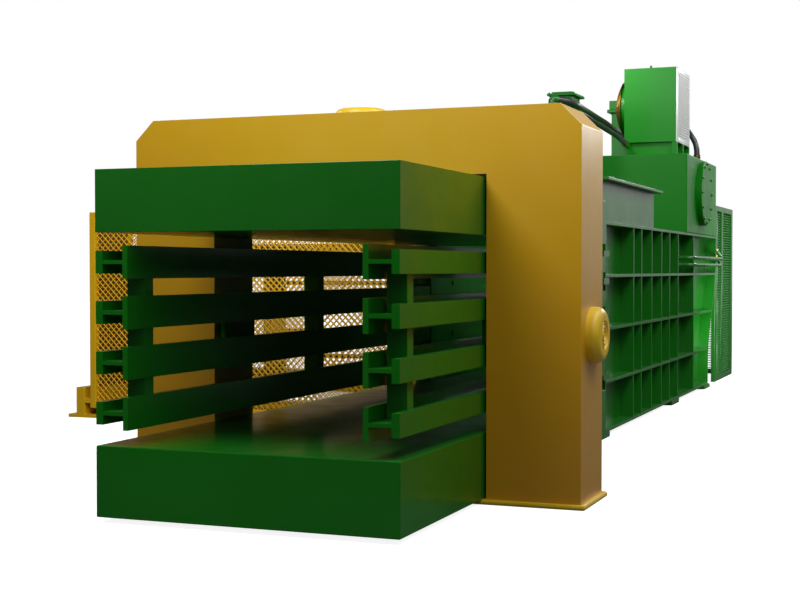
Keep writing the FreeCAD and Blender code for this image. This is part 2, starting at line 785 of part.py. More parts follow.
ram_rear = "ramFront + ramLong"
ram_half = "channelHalf - ramSideClear"
ram_body = box("ram_body", "-(%s)" % ram_half, ram_half, "ramFront", ram_rear, "floorTop + ramSeat",
               "ramTop")
ram_hollow = box("ram_hollow", "-(%s) + ramFace" % ram_half, "%s - ramFace" % ram_half,
                 "ramFront + slotDepth + ramFace",
                 "%s - ramFace" % ram_rear, "floorTop + ramFace", "ramTop - ramFace")
ram_opening = box("ram_opening", "-(%s) + ramFace" % ram_half, "%s - ramFace" % ram_half,
                  "ramFront + slotDepth + ramFace * 2", "%s - ramFace * 2" % ram_rear, "floorTop - 1",
                  "floorTop + ramFace + 1")
ram_cuts = [ram_hollow, ram_opening]
for i in range(int(sizes["needleCount"])):
    level = "needleFirst + needlePitch * %d" % i
    ram_cuts.append(box("ram_slot%d" % i, "-channelHalf", "channelHalf", "ramFront - 1",
                        "ramFront + slotDepth",
                        "%s - slotHeight / 2" % level, "%s + slotHeight / 2" % level))
node(cut("ram_solid", ram_body, ram_cuts), "press_ram")

barrel_length = "barrelRear - barrelFront"
flange_near = "crossheadFront + crossheadThick - barrelFront"
barrel_points = [
    ("mainRodRadius + rodClear", "0"),
    ("barrelRadius", "0"),
    ("barrelRadius", flange_near),
    ("barrelRadius * 1.5", flange_near),
    ("barrelRadius * 1.5", "%s + mainGland / 2" % flange_near),
    ("barrelRadius", "%s + mainGland / 2" % flange_near),
    ("barrelRadius", "%s - mainGland" % barrel_length),
    ("barrelRadius * 1.15", "%s - mainGland" % barrel_length),
    ("barrelRadius * 1.15", barrel_length),
    ("0", barrel_length),
    ("0", "%s - mainGland" % barrel_length),
    ("barrelBore", "%s - mainGland" % barrel_length),
    ("barrelBore", "mainGland"),
    ("mainRodRadius + rodClear", "mainGland"),
]
barrel_tube = turned("main_barrel", barrel_points, "Y", "0", "barrelFront", "squeezeHeight")
port_block = box("port_block", "-portHalf", "portHalf", "portY - portHalf / 2", "portY + portHalf / 2",
                 "squeezeHeight + barrelBore + 10", "portTop")
node(fuse("barrel_with_ports", [barrel_tube, port_block]), "main_cylinder_barrel")

rod_length = "barrelRear - mainGland * 1.1 - (%s)" % ram_rear
rod_points = [
    ("0", "0"),
    ("mainRodRadius", "0"),
    ("mainRodRadius", "(%s) - mainPiston" % rod_length),
    ("barrelBore - rodClear", "(%s) - mainPiston" % rod_length),
    ("barrelBore - rodClear", rod_length),
    ("0", rod_length),
]
node(turned("main_rod", rod_points, "Y", "0", ram_rear, "squeezeHeight"), "ram_cylinder_rod")

# ---- oil tank with its manhole cover ----

tank = box("tank", "-bodyHalf", "bodyHalf", "tankFront", "tankRear", "bodyTop", "tankTop")
node(tank, "oil_tank")
cover_points = [
    ("0", "0"),
    ("manholeRadius", "0"),
    ("manholeRadius", "manholeThick - 6"),
    ("manholeRadius - 6", "manholeThick"),
    ("0", "manholeThick"),
]
node(turned("manhole", cover_points, "X", "bodyHalf", "manholeY", "manholeZ"), "manhole_cover")
cover_bolts = []
for i in range(12):
    turn = math.radians(30 * i)
    cover_bolts.append(hex_head("cover_bolt%d" % i, "bodyHalf + manholeThick",
                                "manholeY + manholePitch * %.5f" % math.cos(turn),
                                "manholeZ + manholePitch * %.5f" % math.sin(turn),
                                "manholeBolt", "manholeBolt * 0.9", "X"))
node(group("cover_bolt_set", cover_bolts), "manhole_bolts")

# ---- oil cooler on its stand ----

stand_pieces = []
leg_y = ["coolerFront", "(coolerFront + coolerRear - legWide) / 2", "coolerRear - legWide"]
for i, y in enumerate(leg_y):
    stand_pieces.append(box("stand_leg%d" % i, "coolerRight - legWide", "coolerRight", y, "%s + legWide" % y,
                            "tankTop", "coolerUnder"))
stand_pieces.append(box("stand_box", "coolerLeft + standInset / 2", "coolerRight - legWide",
                        "coolerFront + standInset", "coolerRear - standInset", "tankTop", "coolerUnder"))
node(fuse("stand", stand_pieces), "cooler_stand")

housing = box("housing", "coolerLeft", "coolerRight - coolerPlate", "coolerFront", "coolerRear",
              "coolerUnder", "coolerTop")
housing_inside = box("housing_inside", "coolerLeft + coolerPlate", "coolerRight",
                     "coolerFront + coolerPlate", "coolerRear - coolerPlate", "coolerUnder + coolerPlate",
                     "coolerTop - coolerPlate")
louvre_front = "coolerFront + louvreFrontSet"
louvre_rear = "coolerRear - louvreEdge / 2"
louvre_low = "coolerUnder + louvreEdge"
louvre_high = "coolerTop - louvreEdge"
louvre_plate = box("louvre_plate", "coolerRight - coolerPlate", "coolerRight", "coolerFront",
                   "coolerRear", "coolerUnder", "coolerTop")
louvre_window = box("louvre_window", "coolerRight - coolerPlate - 1", "coolerRight + 1", louvre_front,
                    louvre_rear, louvre_low, louvre_high)
fan_y = "(coolerFront + coolerRear) / 2"
fan_z = "(coolerUnder + coolerTop) / 2"
fan_window = bar("fan_window", "X", "coolerLeft - 1", fan_y, fan_z, "fanRadius", "coolerPlate + 2")
node(cut("cooler_shell", housing, [housing_inside, fan_window]), "cooler_housing")

louvre_slats = []
slat_pitch = "((%s) - (%s)) / louvreCount" % (louvre_high, louvre_low)
for i in range(int(sizes["louvreCount"])):
    foot = "%s + %s * %d" % (louvre_low, slat_pitch, i)
    slat_points = [
        ("coolerRight - coolerPlate * 3", foot),
        ("coolerRight - coolerPlate * 3", "%s + 3" % foot),
        ("coolerRight - 1", "%s + %s * 0.6 + 3" % (foot, slat_pitch)),
        ("coolerRight - 1", "%s + %s * 0.6" % (foot, slat_pitch)),
    ]
    louvre_slats.append(prism("slat%d" % i, "XZ_Plane", slat_points, "-(%s)" % louvre_rear,
                              "(%s) - (%s)" % (louvre_rear, louvre_front)))
slat_back = [box("slat_back%d" % i, "coolerRight - coolerPlate * 3 - 4",
                 "coolerRight - coolerPlate * 3 + 1", place,
                 "%s + 20" % place, louvre_low, louvre_high)
             for i, place in enumerate([louvre_front, "%s - 20" % louvre_rear])]
louvre_panel = cut("louvre_panel", louvre_plate, [louvre_window])
node(fuse("louvre", [louvre_panel] + louvre_slats + slat_back), "cooler_louvre")

core = box("core", "coolerLeft + coolerPlate + louvreEdge * 4", "coolerRight - coolerPlate * 3 - 4",
           "coolerFront + coolerPlate", "coolerRear - coolerPlate", "coolerUnder + coolerPlate",
           "coolerTop - coolerPlate")
node(core, "cooler_core")

shroud_points = [
    ("fanRadius", "0"),
    ("fanRadius + shroudWall * 2", "0"),
    ("fanRadius + shroudWall * 2", "shroudWall"),
    ("fanRadius + shroudWall", "shroudWall"),
    ("fanRadius + shroudWall", "shroudLong"),
    ("fanRadius", "shroudLong"),
]
node(turned("shroud", shroud_points, "X", "coolerLeft", fan_y, fan_z, True), "fan_shroud")


def ring(name, x, y, z, radius, wire):
    loop = doc.addObject("Part::Torus", name)
    loop.Placement = FreeCAD.Placement(FreeCAD.Vector(), turns["X"])
    bind(loop, "Radius1", radius)
    bind(loop, "Radius2", wire)
    bind(loop, "Placement.Base.x", x)
    bind(loop, "Placement.Base.y", y)
    bind(loop, "Placement.Base.z", z)
    return loop


def guard_shape():
    # domed wire guard: rings at even steps and bent spokes that carry them
    centre = FreeCAD.Vector(size("coolerLeft") - size("shroudLong"),
                            (size("coolerFront") + size("coolerRear")) / 2,
                            (size("coolerUnder") + size("coolerTop")) / 2)
    wire = size("guardWire")
    reach = size("fanRadius") + size("shroudWall") / 2
    count = int(size("guardRings"))
    solids = []

    def dome(radius):
        return centre.x - wire - size("guardRise") * (1 - (radius / reach) ** 2)

    for i in range(count):
        radius = reach * (i + 1) / count
        solids.append(Part.makeTorus(radius, wire, FreeCAD.Vector(dome(radius), centre.y, centre.z),
                                     FreeCAD.Vector(1, 0, 0)))
    spokes = 12
    for i in range(spokes):
        turn = 2 * math.pi * i / spokes
        for step in range(1, count):
            inner = reach * step / count
            outer = reach * (step + 1) / count
            start = FreeCAD.Vector(dome(inner), centre.y + inner * math.cos(turn),
                                   centre.z + inner * math.sin(turn))
            end = FreeCAD.Vector(dome(outer), centre.y + outer * math.cos(turn),
                                 centre.z + outer * math.sin(turn))
            run = end - start
            solids.append(Part.makeCylinder(wire * 0.8, run.Length, start, run))
    return solids[0].fuse(solids[1:])


guard = doc.addObject("Part::Feature", "guard")
guard.Shape = guard_shape()
node(guard, "fan_guard")

motor_back = "coolerLeft + coolerPlate + louvreEdge * 4"
motor_body = bar("motor_body", "X", "coolerLeft + coolerPlate + louvreEdge * 2", fan_y, fan_z, "hubRadius",
                 "louvreEdge * 2")
node(motor_body, "fan_motor")

fan_hub = bar("fan_hub", "X", "coolerLeft", fan_y, fan_z, "hubRadius",
              "louvreEdge * 2 + coolerPlate - rodSeat")
fan_blades = [fan_hub]
for i in range(int(sizes["bladeCount"])):
    blade = doc.addObject("Part::Box", "fan_blade%d" % i)
    angle = 360.0 / sizes["bladeCount"] * i
    spin = FreeCAD.Rotation(FreeCAD.Vector(1, 0, 0), angle)
    pitch = FreeCAD.Rotation(FreeCAD.Vector(0, 0, 1), 32)
    blade.Placement = FreeCAD.Placement(FreeCAD.Vector(), spin.multiply(pitch))
    foot = spin.multVec(FreeCAD.Vector(0, -0.42, 0.6))
    bind(blade, "Length", "5")
    bind(blade, "Width", "hubRadius")
    bind(blade, "Height", "fanRadius - 15 - hubRadius * 0.6")
    bind(blade, "Placement.Base.x", "coolerLeft + louvreEdge * 1.3")
    bind(blade, "Placement.Base.y", "%s + hubRadius * %.5f" % (fan_y, foot.y))
    bind(blade, "Placement.Base.z", "%s + hubRadius * %.5f" % (fan_z, foot.z))
    fan_blades.append(blade)
node(fuse("fan_solid", fan_blades), "cooler_fan")

eye_x = "(coolerLeft + coolerRight) / 2 - 60"
eye_foot = bar("eye_foot", "Z", eye_x, fan_y, "coolerTop", "18", "14")
eye_ring = ring("eye_ring", eye_x, fan_y, "coolerTop + 38", "24", "7")
node(fuse("eye", [eye_foot, eye_ring]), "cooler_lifting_eye")

# ---- filter column and valve tower ----

filter_body = box("filter_body", "filterX - filterHalf", "filterX + filterHalf", "filterY - filterHalf",
                  "filterY + filterHalf", "tankTop", "filterHeadUnder")
filter_lip = box("filter_lip", "filterX - filterHeadHalf - filterLip",
                 "filterX + filterHeadHalf + filterLip",
                 "filterY - filterHeadHalf - filterLip", "filterY + filterHeadHalf + filterLip",
                 "filterHeadUnder - filterLipHigh", "filterHeadUnder")
filter_head = box("filter_head", "filterX - filterHeadHalf", "filterX + filterHeadHalf",
                  "filterY - filterHeadHalf",
                  "filterY + filterHeadHalf", "filterHeadUnder", "filterTop")
node(fuse("filter", [filter_body, filter_lip, filter_head]), "filter_column")

tower_body = box("tower_body", "towerLeft", "towerRight", "towerFront", "towerRear", "bodyTop",
                 "towerTop - towerPlate")
tower_plate = box("tower_plate", "towerLeft - towerOver", "towerRight + towerOver", "towerFront - towerOver",
                  "towerRear + towerOver", "towerTop - towerPlate", "towerTop")
tower_lid = box("tower_lid", "towerLeft", "towerRight", "towerFront", "towerRear", "towerTop",
                "towerTop + lidHeight")
tower_bolts = []
for i, x in enumerate(["towerLeft - towerOver / 2", "towerRight + towerOver / 2"]):
    for j, y in enumerate(["towerFront - towerOver / 2", "towerRear + towerOver / 2"]):
        tower_bolts.append(hex_head("tower_bolt%d%d" % (i, j), x, y, "towerTop", "8", "9"))
node(fuse("tower", [tower_body, tower_plate, tower_lid] + tower_bolts), "valve_tower")


# ---- pipes and hoses ----

def tube_path(points, first_bend=None):
    # straight runs joined by arcs that touch both runs
    count = len(points)
    edges = []
    radii = []
    here = points[0]
    for i in range(1, count - 1):
        before = points[i] - points[i - 1]
        after = points[i + 1] - points[i]
        turn = before.getAngle(after)
        reach = 0.45 * min(before.Length, after.Length)
        if first_bend is not None:
            reach = min(reach, first_bend * math.tan(turn / 2))
        radius = reach / math.tan(turn / 2)
        radii.append(radius)
        start = points[i] - FreeCAD.Vector(before).normalize() * reach
        end = points[i] + FreeCAD.Vector(after).normalize() * reach
        inward = (FreeCAD.Vector(after).normalize() - FreeCAD.Vector(before).normalize()).normalize()
        middle = points[i] + inward * (radius / math.cos(turn / 2) - radius)
        edges.append(Part.LineSegment(here, start).toShape())
        edges.append(Part.Arc(start, middle, end).toShape())
        here = end
    edges.append(Part.LineSegment(here, points[-1]).toShape())
    return Part.Wire(edges), radii


def tube(points, radius, bend=None):
    path, radii = tube_path(points, bend)
    section = Part.Wire([Part.Circle(points[0], points[1] - points[0], radius).toShape()])
    solid = path.makePipeShell([section], True, False)
    return solid, path, radii


def hose(label, points, radius):
    spots = [FreeCAD.Vector(*point) for point in points]
    solid, path, radii = tube(spots, radius)
    feature = doc.addObject("Part::Feature", label + "_tube")
    feature.Shape = solid
    expected = math.pi * radius ** 2 * path.Length
    print(label, "length %.0f" % path.Length, "volume ratio %.4f" % (solid.Volume / expected),
          "radii", ["%.0f" % value for value in radii])
    return node(feature, label)


upper_route = [
    (-240, 4706, 2508),
    (-179, 4749, 2500),
    (-135, 4810, 2482),
    (-113, 4882, 2468),
    (-118, 5027, 2462),
    (-128, 5290, 2460),
    (-144, 5700, 2450),
    (-154, 6130, 2440),
    (-174, 6520, 2416),
    (-174, 6808, 2416),
]
lower_route = [
    (-215, 5113, 2462),
    (-215, 5200, 2462),
    (-198, 5310, 2443),
    (-150, 5460, 2408),
    (-96, 5640, 2370),
    (-46, 5800, 2330),
    (0, 5903, 2297),
    (52, 5968, 2236),
]
suction_route = [
    (430, 6663, 2462),
    (430, 6755, 2462),
    (458, 6829, 2420),
    (506, 6850, 2345),
    (540, 6836, 2265),
    (540, 6836, 2195),
]
upper_line_route = [
    (652, 7363, 1286),
    (599.2, 7363, 1366.3),
    (500, 7360, 1400),
    (350, 7352, 1390),
    (160, 7345, 1330),
    (45, 7338, 1240),
    (-10, 7335, 1125),
    (-10, 7335, 1010),
]
lower_line_route = [
    (652, 7308, 1224),
    (599.2, 7308, 1304.3),
    (505, 7310, 1334),
    (362, 7318, 1318),
    (235, 7326, 1258),
    (125, 7333, 1170),
    (80, 7335, 1085),
    (80, 7335, 1010),
]
hose("upper_hose", upper_route, size("hoseRadius"))
hose("lower_hose", lower_route, size("hoseRadius"))
hose("suction_hose", suction_route, size("suctionRadius"))
hose("upper_line_hose", upper_line_route, size("lineRadius"))
hose("lower_line_hose", lower_line_route, size("lineRadius"))


def pressure_pipe(level, end):
    start = FreeCAD.Vector(size("channelHalf") + size("wallPlate"), size("pipeY"), level)
    corner = FreeCAD.Vector(size("pipeX"), size("pipeY"), level)
    rear = FreeCAD.Vector(size("pipeX"), end[1], level)
    solid, path, radii = tube([start, corner, rear, FreeCAD.Vector(*end)], size("pipeRadius"),
                              size("pipeBend"))
    return solid


pipes = doc.addObject("Part::Feature", "pipes")
pipes.Shape = Part.makeCompound([
    pressure_pipe(size("pipeHigh"), upper_line_route[0]),
    pressure_pipe(size("pipeLow"), lower_line_route[0]),
])
node(pipes, "pressure_pipes")


def riser_shape():
    # a pipe that leaves the tower's front, rises and turns to meet the upper hose
    hose_end = FreeCAD.Vector(*upper_route[0])
    along = (FreeCAD.Vector(*upper_route[1]) - hose_end).normalize()
    top = hose_end - along * 56
    low = FreeCAD.Vector(top.x, top.y, top.z - 250)
    port = FreeCAD.Vector(top.x, size("towerFront"), low.z)
    solid, path, radii = tube([port, low, top, hose_end], size("hoseRadius") + 4, 24)
    return solid


riser = doc.addObject("Part::Feature", "riser")
riser.Shape = riser_shape()
node(riser, "riser_pipe")


def hose_collar(point, towards, radius):
    # a ring pressed over the hose's end, standing on what the hose enters
    start = FreeCAD.Vector(*point)
    along = (FreeCAD.Vector(*towards) - start).normalize()
    wall = size("fittingWall")
    outer = Part.makeCylinder(radius + wall, size("fittingLong"), start, along)
    inner = Part.makeCylinder(radius, size("fittingLong"), start, along)
    return outer.cut(inner)


def stub(point, towards, radius, length, keep):
    # a solid nipple behind the hose's end, trimmed flush with what carries it
    start = FreeCAD.Vector(*point)
    back = (start - FreeCAD.Vector(*towards)).normalize()
    return Part.makeCylinder(radius + size("fittingWall"), length, start, back).common(keep)


room = size("stubRoom")
stand_end = lower_route[-1]
tank_end = suction_route[-1]
before_stand = Part.makeBox(room, room, room,
                            FreeCAD.Vector(stand_end[0] - room / 2,
                                           size("coolerFront") + size("standInset") - room,
                                           stand_end[2] - room / 2))
above_tank = Part.makeBox(room, room, room,
                          FreeCAD.Vector(tank_end[0] - room / 2, tank_end[1] - room / 2, size("tankTop")))
tower_ring = hose_collar(lower_route[0], lower_route[1], size("hoseRadius"))
stand_ring = hose_collar(stand_end, lower_route[-2], size("hoseRadius"))
stand_stub = stub(stand_end, lower_route[-2], size("hoseRadius"), size("standStub"), before_stand)
tank_ring = hose_collar(tank_end, suction_route[-2], size("suctionRadius"))
tank_stub = stub(tank_end, suction_route[-2], size("suctionRadius"), size("tankStub"), above_tank)
collars = doc.addObject("Part::Feature", "collars")
collars.Shape = Part.makeCompound([
    hose_collar(upper_route[-1], upper_route[-2], size("hoseRadius")),
    tower_ring,
    stand_ring.fuse(stand_stub),
    hose_collar(suction_route[0], suction_route[1], size("suctionRadius")),
    tank_ring.fuse(tank_stub),
    hose_collar(upper_line_route[0], upper_line_route[1], size("lineRadius")),
    hose_collar(upper_line_route[-1], upper_line_route[-2], size("lineRadius")),
    hose_collar(lower_line_route[0], lower_line_route[1], size("lineRadius")),
    hose_collar(lower_line_route[-1], lower_line_route[-2], size("lineRadius")),
])
node(collars, "hose_collars")

# ---- guard cage round the main cylinder ----

cage_inner = "cageHalf - cageThick"
cage_pieces = []
for side in (-1, 1):
    x_near = "(%s) * %d" % (cage_inner, side)
    x_far = "cageHalf * %d" % side
    x_from, x_to = (x_far, x_near) if side < 0 else (x_near, x_far)
    for i, y in enumerate(["cageFront", "cageMiddle", "cageRear - cageBar"]):
        cage_pieces.append(box("cage_post%d%d" % (side + 1, i), x_from, x_to, y, "%s + cageBar" % y, "0",
                               "cageTop"))
    cage_pieces.append(box("cage_low%d" % (side + 1), x_from, x_to, "cageFront", "cageRear", "0",
                           "cageBar / 2"))
    cage_pieces.append(box("cage_high%d" % (side + 1), x_from, x_to, "cageFront", "cageRear",
                           "cageTop - cageBar / 2",
                           "cageTop"))
    cage_pieces.append(box("cage_link%d" % (side + 1), x_from, x_to, "bodyRear", "cageFront",
                           "bodyTop - cageTie", "bodyTop"))
cage_pieces += frame_of_bars("cage_end", "-cageHalf", "cageHalf", "cageRear - cageThick", "cageRear", "0",
                             "cageTop",
                             "cageBar", "cageBar / 2")
cage_pieces.append(box("cage_middle", "-cageBar / 2", "cageBar / 2", "cageRear - cageThick", "cageRear",
                       "0", "cageTop"))
node(fuse("cage", cage_pieces), "cage_frame")


def holed_sheet(width, height, thick, columns, rows, web):
    # a flat sheet in the XZ plane with a grid of upright slots
    sheet_solid = Part.makeBox(width, thick, height)
    step_x = width / columns
    step_z = height / rows
    holes = [Part.makeBox(step_x - web, thick, step_z - web,
                          FreeCAD.Vector(step_x * i + web / 2, 0, step_z * j + web / 2))
             for i in range(columns) for j in range(rows)]
    return sheet_solid.cut(Part.makeCompound(holes))


def side_sheet(x, y_from, y_to):
    sheet_solid = holed_sheet(y_to - y_from, size("cageTop") - size("cageBar"), size("cageMesh"), 5, 12, 12)
    turn = FreeCAD.Rotation(FreeCAD.Vector(0, 0, 1), 90)
    sheet_solid.Placement = FreeCAD.Placement(FreeCAD.Vector(x, y_from, size("cageBar") / 2), turn)
    return sheet_solid


def cage_sheets():
    middle = size("cageMiddle")
    bar_wide = size("cageBar")
    fields = [(size("cageFront") + bar_wide, middle), (middle + bar_wide, size("cageRear") - bar_wide)]
    solids = []
    for x in (-size("cageHalf") + size("cageThick") / 2, size("cageHalf") - size("cageThick") / 2):
        for near, far in fields:
            solids.append(side_sheet(x + size("cageMesh") / 2, near, far))
    rear_width = size("cageHalf") - bar_wide * 1.5
    for x in (-size("cageHalf") + bar_wide, bar_wide / 2):
        panel = holed_sheet(rear_width, size("cageTop") - bar_wide, size("cageMesh"), 5, 12, 12)
        panel.Placement = FreeCAD.Placement(
            FreeCAD.Vector(x, size("cageRear") - size("cageThick") / 2, bar_wide / 2), FreeCAD.Rotation())
        solids.append(panel)
    return Part.makeCompound(solids)


sheets = doc.addObject("Part::Feature", "sheets")
sheets.Shape = cage_sheets()
node(sheets, "cage_mesh")

# ---- yellow fence round the tying unit ----

fence_bars = []
for i, (y, top) in enumerate([("fenceFront", "fenceTop"), ("fenceRear", "fenceTop")]):
    bars = frame_of_bars("fence%d" % i, "fenceLeft", "fenceRight", y, "%s + fencePost" % y, "fenceBottom",
                         top,
                         "fencePost", "fenceRail")
    foot = box("fence%d_foot" % i, "fenceRight - fencePost", "fenceRight", y, "%s + fencePost" % y, "0",
               "fenceBottom")
    fence_bars.append(fuse("fence_panel%d" % i, bars + [foot]))
fence_link = box("fence_link", "fenceRight - fencePost", "fenceRight", "fenceFront + fencePost", "fenceRear",
                 "fenceTop - fenceRail", "fenceTop")
node(fuse("fence", fence_bars + [fence_link]), "fence_frame")


def diamond_sheet(width, height, thick, pitch, strand):
    # a flat sheet in the XZ plane with a grid of diamond holes
    sheet_solid = Part.makeBox(width, thick, height)
    columns = int(width // pitch)
    rows = int(height // pitch)
    step_x = width / columns
    step_z = height / rows
    holes = []
    for i in range(columns):
        for j in range(rows):
            x = step_x * (i + 0.5)
            z = step_z * (j + 0.5)
            half_x = step_x / 2 - strand
            half_z = step_z / 2 - strand
            corners = [(x - half_x, z), (x, z + half_z), (x + half_x, z), (x, z - half_z), (x - half_x, z)]
            wire = Part.makePolygon([FreeCAD.Vector(a, 0, b) for a, b in corners])
            holes.append(Part.Face(wire).extrude(FreeCAD.Vector(0, thick, 0)))
    return sheet_solid.cut(Part.makeCompound(holes))


def fence_sheets():
    width = size("fenceRight") - size("fenceLeft") - size("fencePost") * 2
    height = size("fenceTop") - size("fenceBottom") - size("fenceRail") * 2
    solids = []
    for y in (size("fenceFront"), size("fenceRear")):
        sheet_solid = diamond_sheet(width, height, size("fenceMesh"), 240, 12)
        sheet_solid.Placement = FreeCAD.Placement(
            FreeCAD.Vector(size("fenceLeft") + size("fencePost"), y + size("fencePost") / 2,
                           size("fenceBottom") + size("fenceRail")), FreeCAD.Rotation())
        solids.append(sheet_solid)
    return Part.makeCompound(solids)


mesh = doc.addObject("Part::Feature", "mesh")
mesh.Shape = fence_sheets()
node(mesh, "fence_mesh")

node(box("side_panel", "fenceLeft + fencePost / 2", "fenceLeft + fencePost / 2 + sidePanelThick",
         "fenceFront + fencePost", "fenceRear", "basePlate + footBeamHeight", "sidePanelTop"),
         "fence_side_panel")

beam_left = "footBeamLeft"
beam_right = "footBeamLeft + footBeamWide"
beam_top = "basePlate + footBeamHeight"
web_under = "basePlate + (footBeamHeight - footBeamWeb) / 2"
foot_beam_pieces = [
    box("foot_flange_left", beam_left, "%s + footBeamFlange" % beam_left, "fenceFront",
        "fenceRear + fencePost", "basePlate", beam_top),
    box("foot_web_front", beam_left, "fenceLeft", "fenceFront", "fenceFront + fencePost", web_under,
        "%s + footBeamWeb" % web_under),
    box("foot_flange_right", "%s - footBeamFlange" % beam_right, beam_right, "fenceFront + fencePost",
        "fenceRear",
        "basePlate", beam_top),
    box("foot_web", beam_left, beam_right, "fenceFront + fencePost", "fenceRear", web_under,
        "%s + footBeamWeb" % web_under),
    box("foot_plate_front", "footPlateLeft", "%s + footBeamFlange" % beam_right,
        "fenceFront",
        "fenceFront + footBeamHeight", "0", "basePlate"),
    box("foot_plate_rear", "footPlateLeft", "%s + footBeamFlange" % beam_right,
        "fenceRear + fencePost - footBeamHeight",
        "fenceRear + fencePost", "0", "basePlate"),
]
node(fuse("foot_beam", foot_beam_pieces), "fence_foot_beam")

# ---- tying unit: a frame with two guide beams, and the needle carriage that runs on them ----

tie_front = "fenceRear + fencePost"
tie_rear = "%s + tieDepth" % tie_front
tie_left = "fenceLeft + fencePost"
tie_right = "-bodyHalf"
tie_pieces = [
    box("tie_top_beam", tie_left, tie_right, tie_front, tie_rear, "tieTopUnder", "tieTop"),
    box("tie_low_beam", tie_left, tie_right, tie_front, tie_rear, "tieLowUnder", "tieLowTop"),
    box("tie_upright_left", tie_left, "%s + tieDepth" % tie_left, tie_front, tie_rear, "0", "tieTop"),
    box("tie_upright_right", "%s - tieDepth" % tie_right, tie_right, tie_front, tie_rear, "tieLowUnder",
        "tieTop"),
    box("tie_base_beam", tie_left, "%s - tieDepth * 2" % tie_right, tie_front, tie_rear, "0", "tieBaseHigh"),
]
guide_holes = []
for i in range(int(sizes["needleCount"])):
    level = "needleFirst + needlePitch * %d" % i
    guide_holes.append(bar("guide_hole%d" % i, "X", "%s - tieDepth - 1" % tie_right, "needleY", level,
                           "needleRadius + needlePlay", "tieDepth + 2"))
node(cut("tie_guided", fuse("tie", tie_pieces), guide_holes), "tie_frame")

carriage_pieces = [
    box("carriage_block", "carriageX", "carriageX + carriageLong", "needleY - needleRadius * 2", tie_rear,
        "tieLowTop + rodSeat", "tieTopUnder - rodSeat"),
    box("carriage_plate", "carriageX", "carriageX + carriageLong", "%s + rodSeat" % tie_rear,
        "%s + tieDepth / 2" % tie_rear, "carriageUnder", "carriageTop"),
    box("carriage_neck", "carriageX", "carriageX + carriageLong", tie_rear, "%s + tieDepth / 2" % tie_rear,
        "tieLowTop + rodSeat", "tieTopUnder - rodSeat"),
]
for i in range(int(sizes["needleCount"])):
    level = "needleFirst + needlePitch * %d" % i
    carriage_pieces.append(bar("needle%d" % i, "X", "carriageX", "needleY", level, "needleRadius",
                               "needleTip - carriageX"))
node(fuse("carriage", carriage_pieces), "needle_carriage")

doc.recompute()

# ---- checks and export ----

for thing in doc.Objects:
    if "Invalid" in thing.State or "Error" in thing.State:
        raise RuntimeError("failed object: %s %s" % (thing.Label, thing.State))
os.makedirs("parts", exist_ok=True)
for thing in nodes:
    shape = thing.Shape
    if shape.isNull() or not shape.isValid():
        raise RuntimeError("bad shape: " + thing.Label)
for thing in nodes:
    thing.Shape.exportStep("parts/%s.step" % thing.Label)
print(len(nodes), "nodes written")
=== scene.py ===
import bpy
import bmesh
import json
import math
from mathutils import Matrix, Vector


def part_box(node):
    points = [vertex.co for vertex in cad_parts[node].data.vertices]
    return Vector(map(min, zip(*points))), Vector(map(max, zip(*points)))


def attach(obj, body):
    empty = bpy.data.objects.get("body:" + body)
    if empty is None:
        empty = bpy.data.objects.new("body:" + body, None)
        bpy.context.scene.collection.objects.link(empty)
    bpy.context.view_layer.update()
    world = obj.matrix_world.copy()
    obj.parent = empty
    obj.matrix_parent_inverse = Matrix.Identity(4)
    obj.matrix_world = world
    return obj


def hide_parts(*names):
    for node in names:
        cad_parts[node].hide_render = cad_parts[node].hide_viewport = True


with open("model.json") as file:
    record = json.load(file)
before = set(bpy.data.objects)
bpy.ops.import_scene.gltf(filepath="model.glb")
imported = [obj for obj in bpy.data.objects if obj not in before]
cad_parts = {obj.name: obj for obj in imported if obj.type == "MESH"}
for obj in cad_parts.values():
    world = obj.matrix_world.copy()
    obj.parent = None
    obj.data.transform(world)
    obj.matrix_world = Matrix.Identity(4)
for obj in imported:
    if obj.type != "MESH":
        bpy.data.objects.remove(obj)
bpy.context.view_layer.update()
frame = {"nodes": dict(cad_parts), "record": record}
nodes = frame["nodes"]
scene = bpy.context.scene
print("frame loaded:", len(nodes), "nodes")

# the camera stands in front of the outlet, to its right
cameraValues = {
    "place": (2.747, -6.485, 1.110),
    "down": 1.253,       # degrees below the horizon
    "left": 21.389,      # degrees to the left of the baler's length
    "lens": 62.83,
    "sensor": 36,
    "seesTo": 200,
}
cameraData = bpy.data.cameras.new("photoCamera")
cameraData.lens = cameraValues["lens"]
cameraData.sensor_width = cameraValues["sensor"]
cameraData.clip_end = cameraValues["seesTo"]
camera = bpy.data.objects.new("photoCamera", cameraData)
camera.location = cameraValues["place"]
camera.rotation_euler = (math.radians(90 - cameraValues["down"]), 0, math.radians(cameraValues["left"]))
scene.collection.objects.link(camera)
scene.camera = camera


# steps that all finishes share

def newMaterial(name):
    material = bpy.data.materials.new(name)
    material.use_nodes = True
    tree = material.node_tree
    shader = tree.nodes["Principled BSDF"]
    return material, tree, shader


def addNode(tree, kind, **values):
    # each value goes to the input of that name, or else to the node's own setting
    made = tree.nodes.new(kind)
    for key, value in values.items():
        if key in made.inputs:
            made.inputs[key].default_value = value
        else:
            setattr(made, key, value)
    return made


def objectPoint(tree, scale=(1, 1, 1)):
    coordinates = addNode(tree, "ShaderNodeTexCoord")
    mapping = addNode(tree, "ShaderNodeMapping")
    mapping.inputs["Scale"].default_value = scale
    tree.links.new(coordinates.outputs["Object"], mapping.inputs["Vector"])
    return mapping.outputs["Vector"]


def cloud(tree, point, scale, detail=3, rough=0.55):
    noise = addNode(tree, "ShaderNodeTexNoise", Scale=scale, Detail=detail, Roughness=rough)
    tree.links.new(point, noise.inputs["Vector"])
    return noise.outputs["Fac"]


def part(tree, vector, axis):
    split = addNode(tree, "ShaderNodeSeparateXYZ")
    tree.links.new(vector, split.inputs["Vector"])
    return split.outputs[axis]


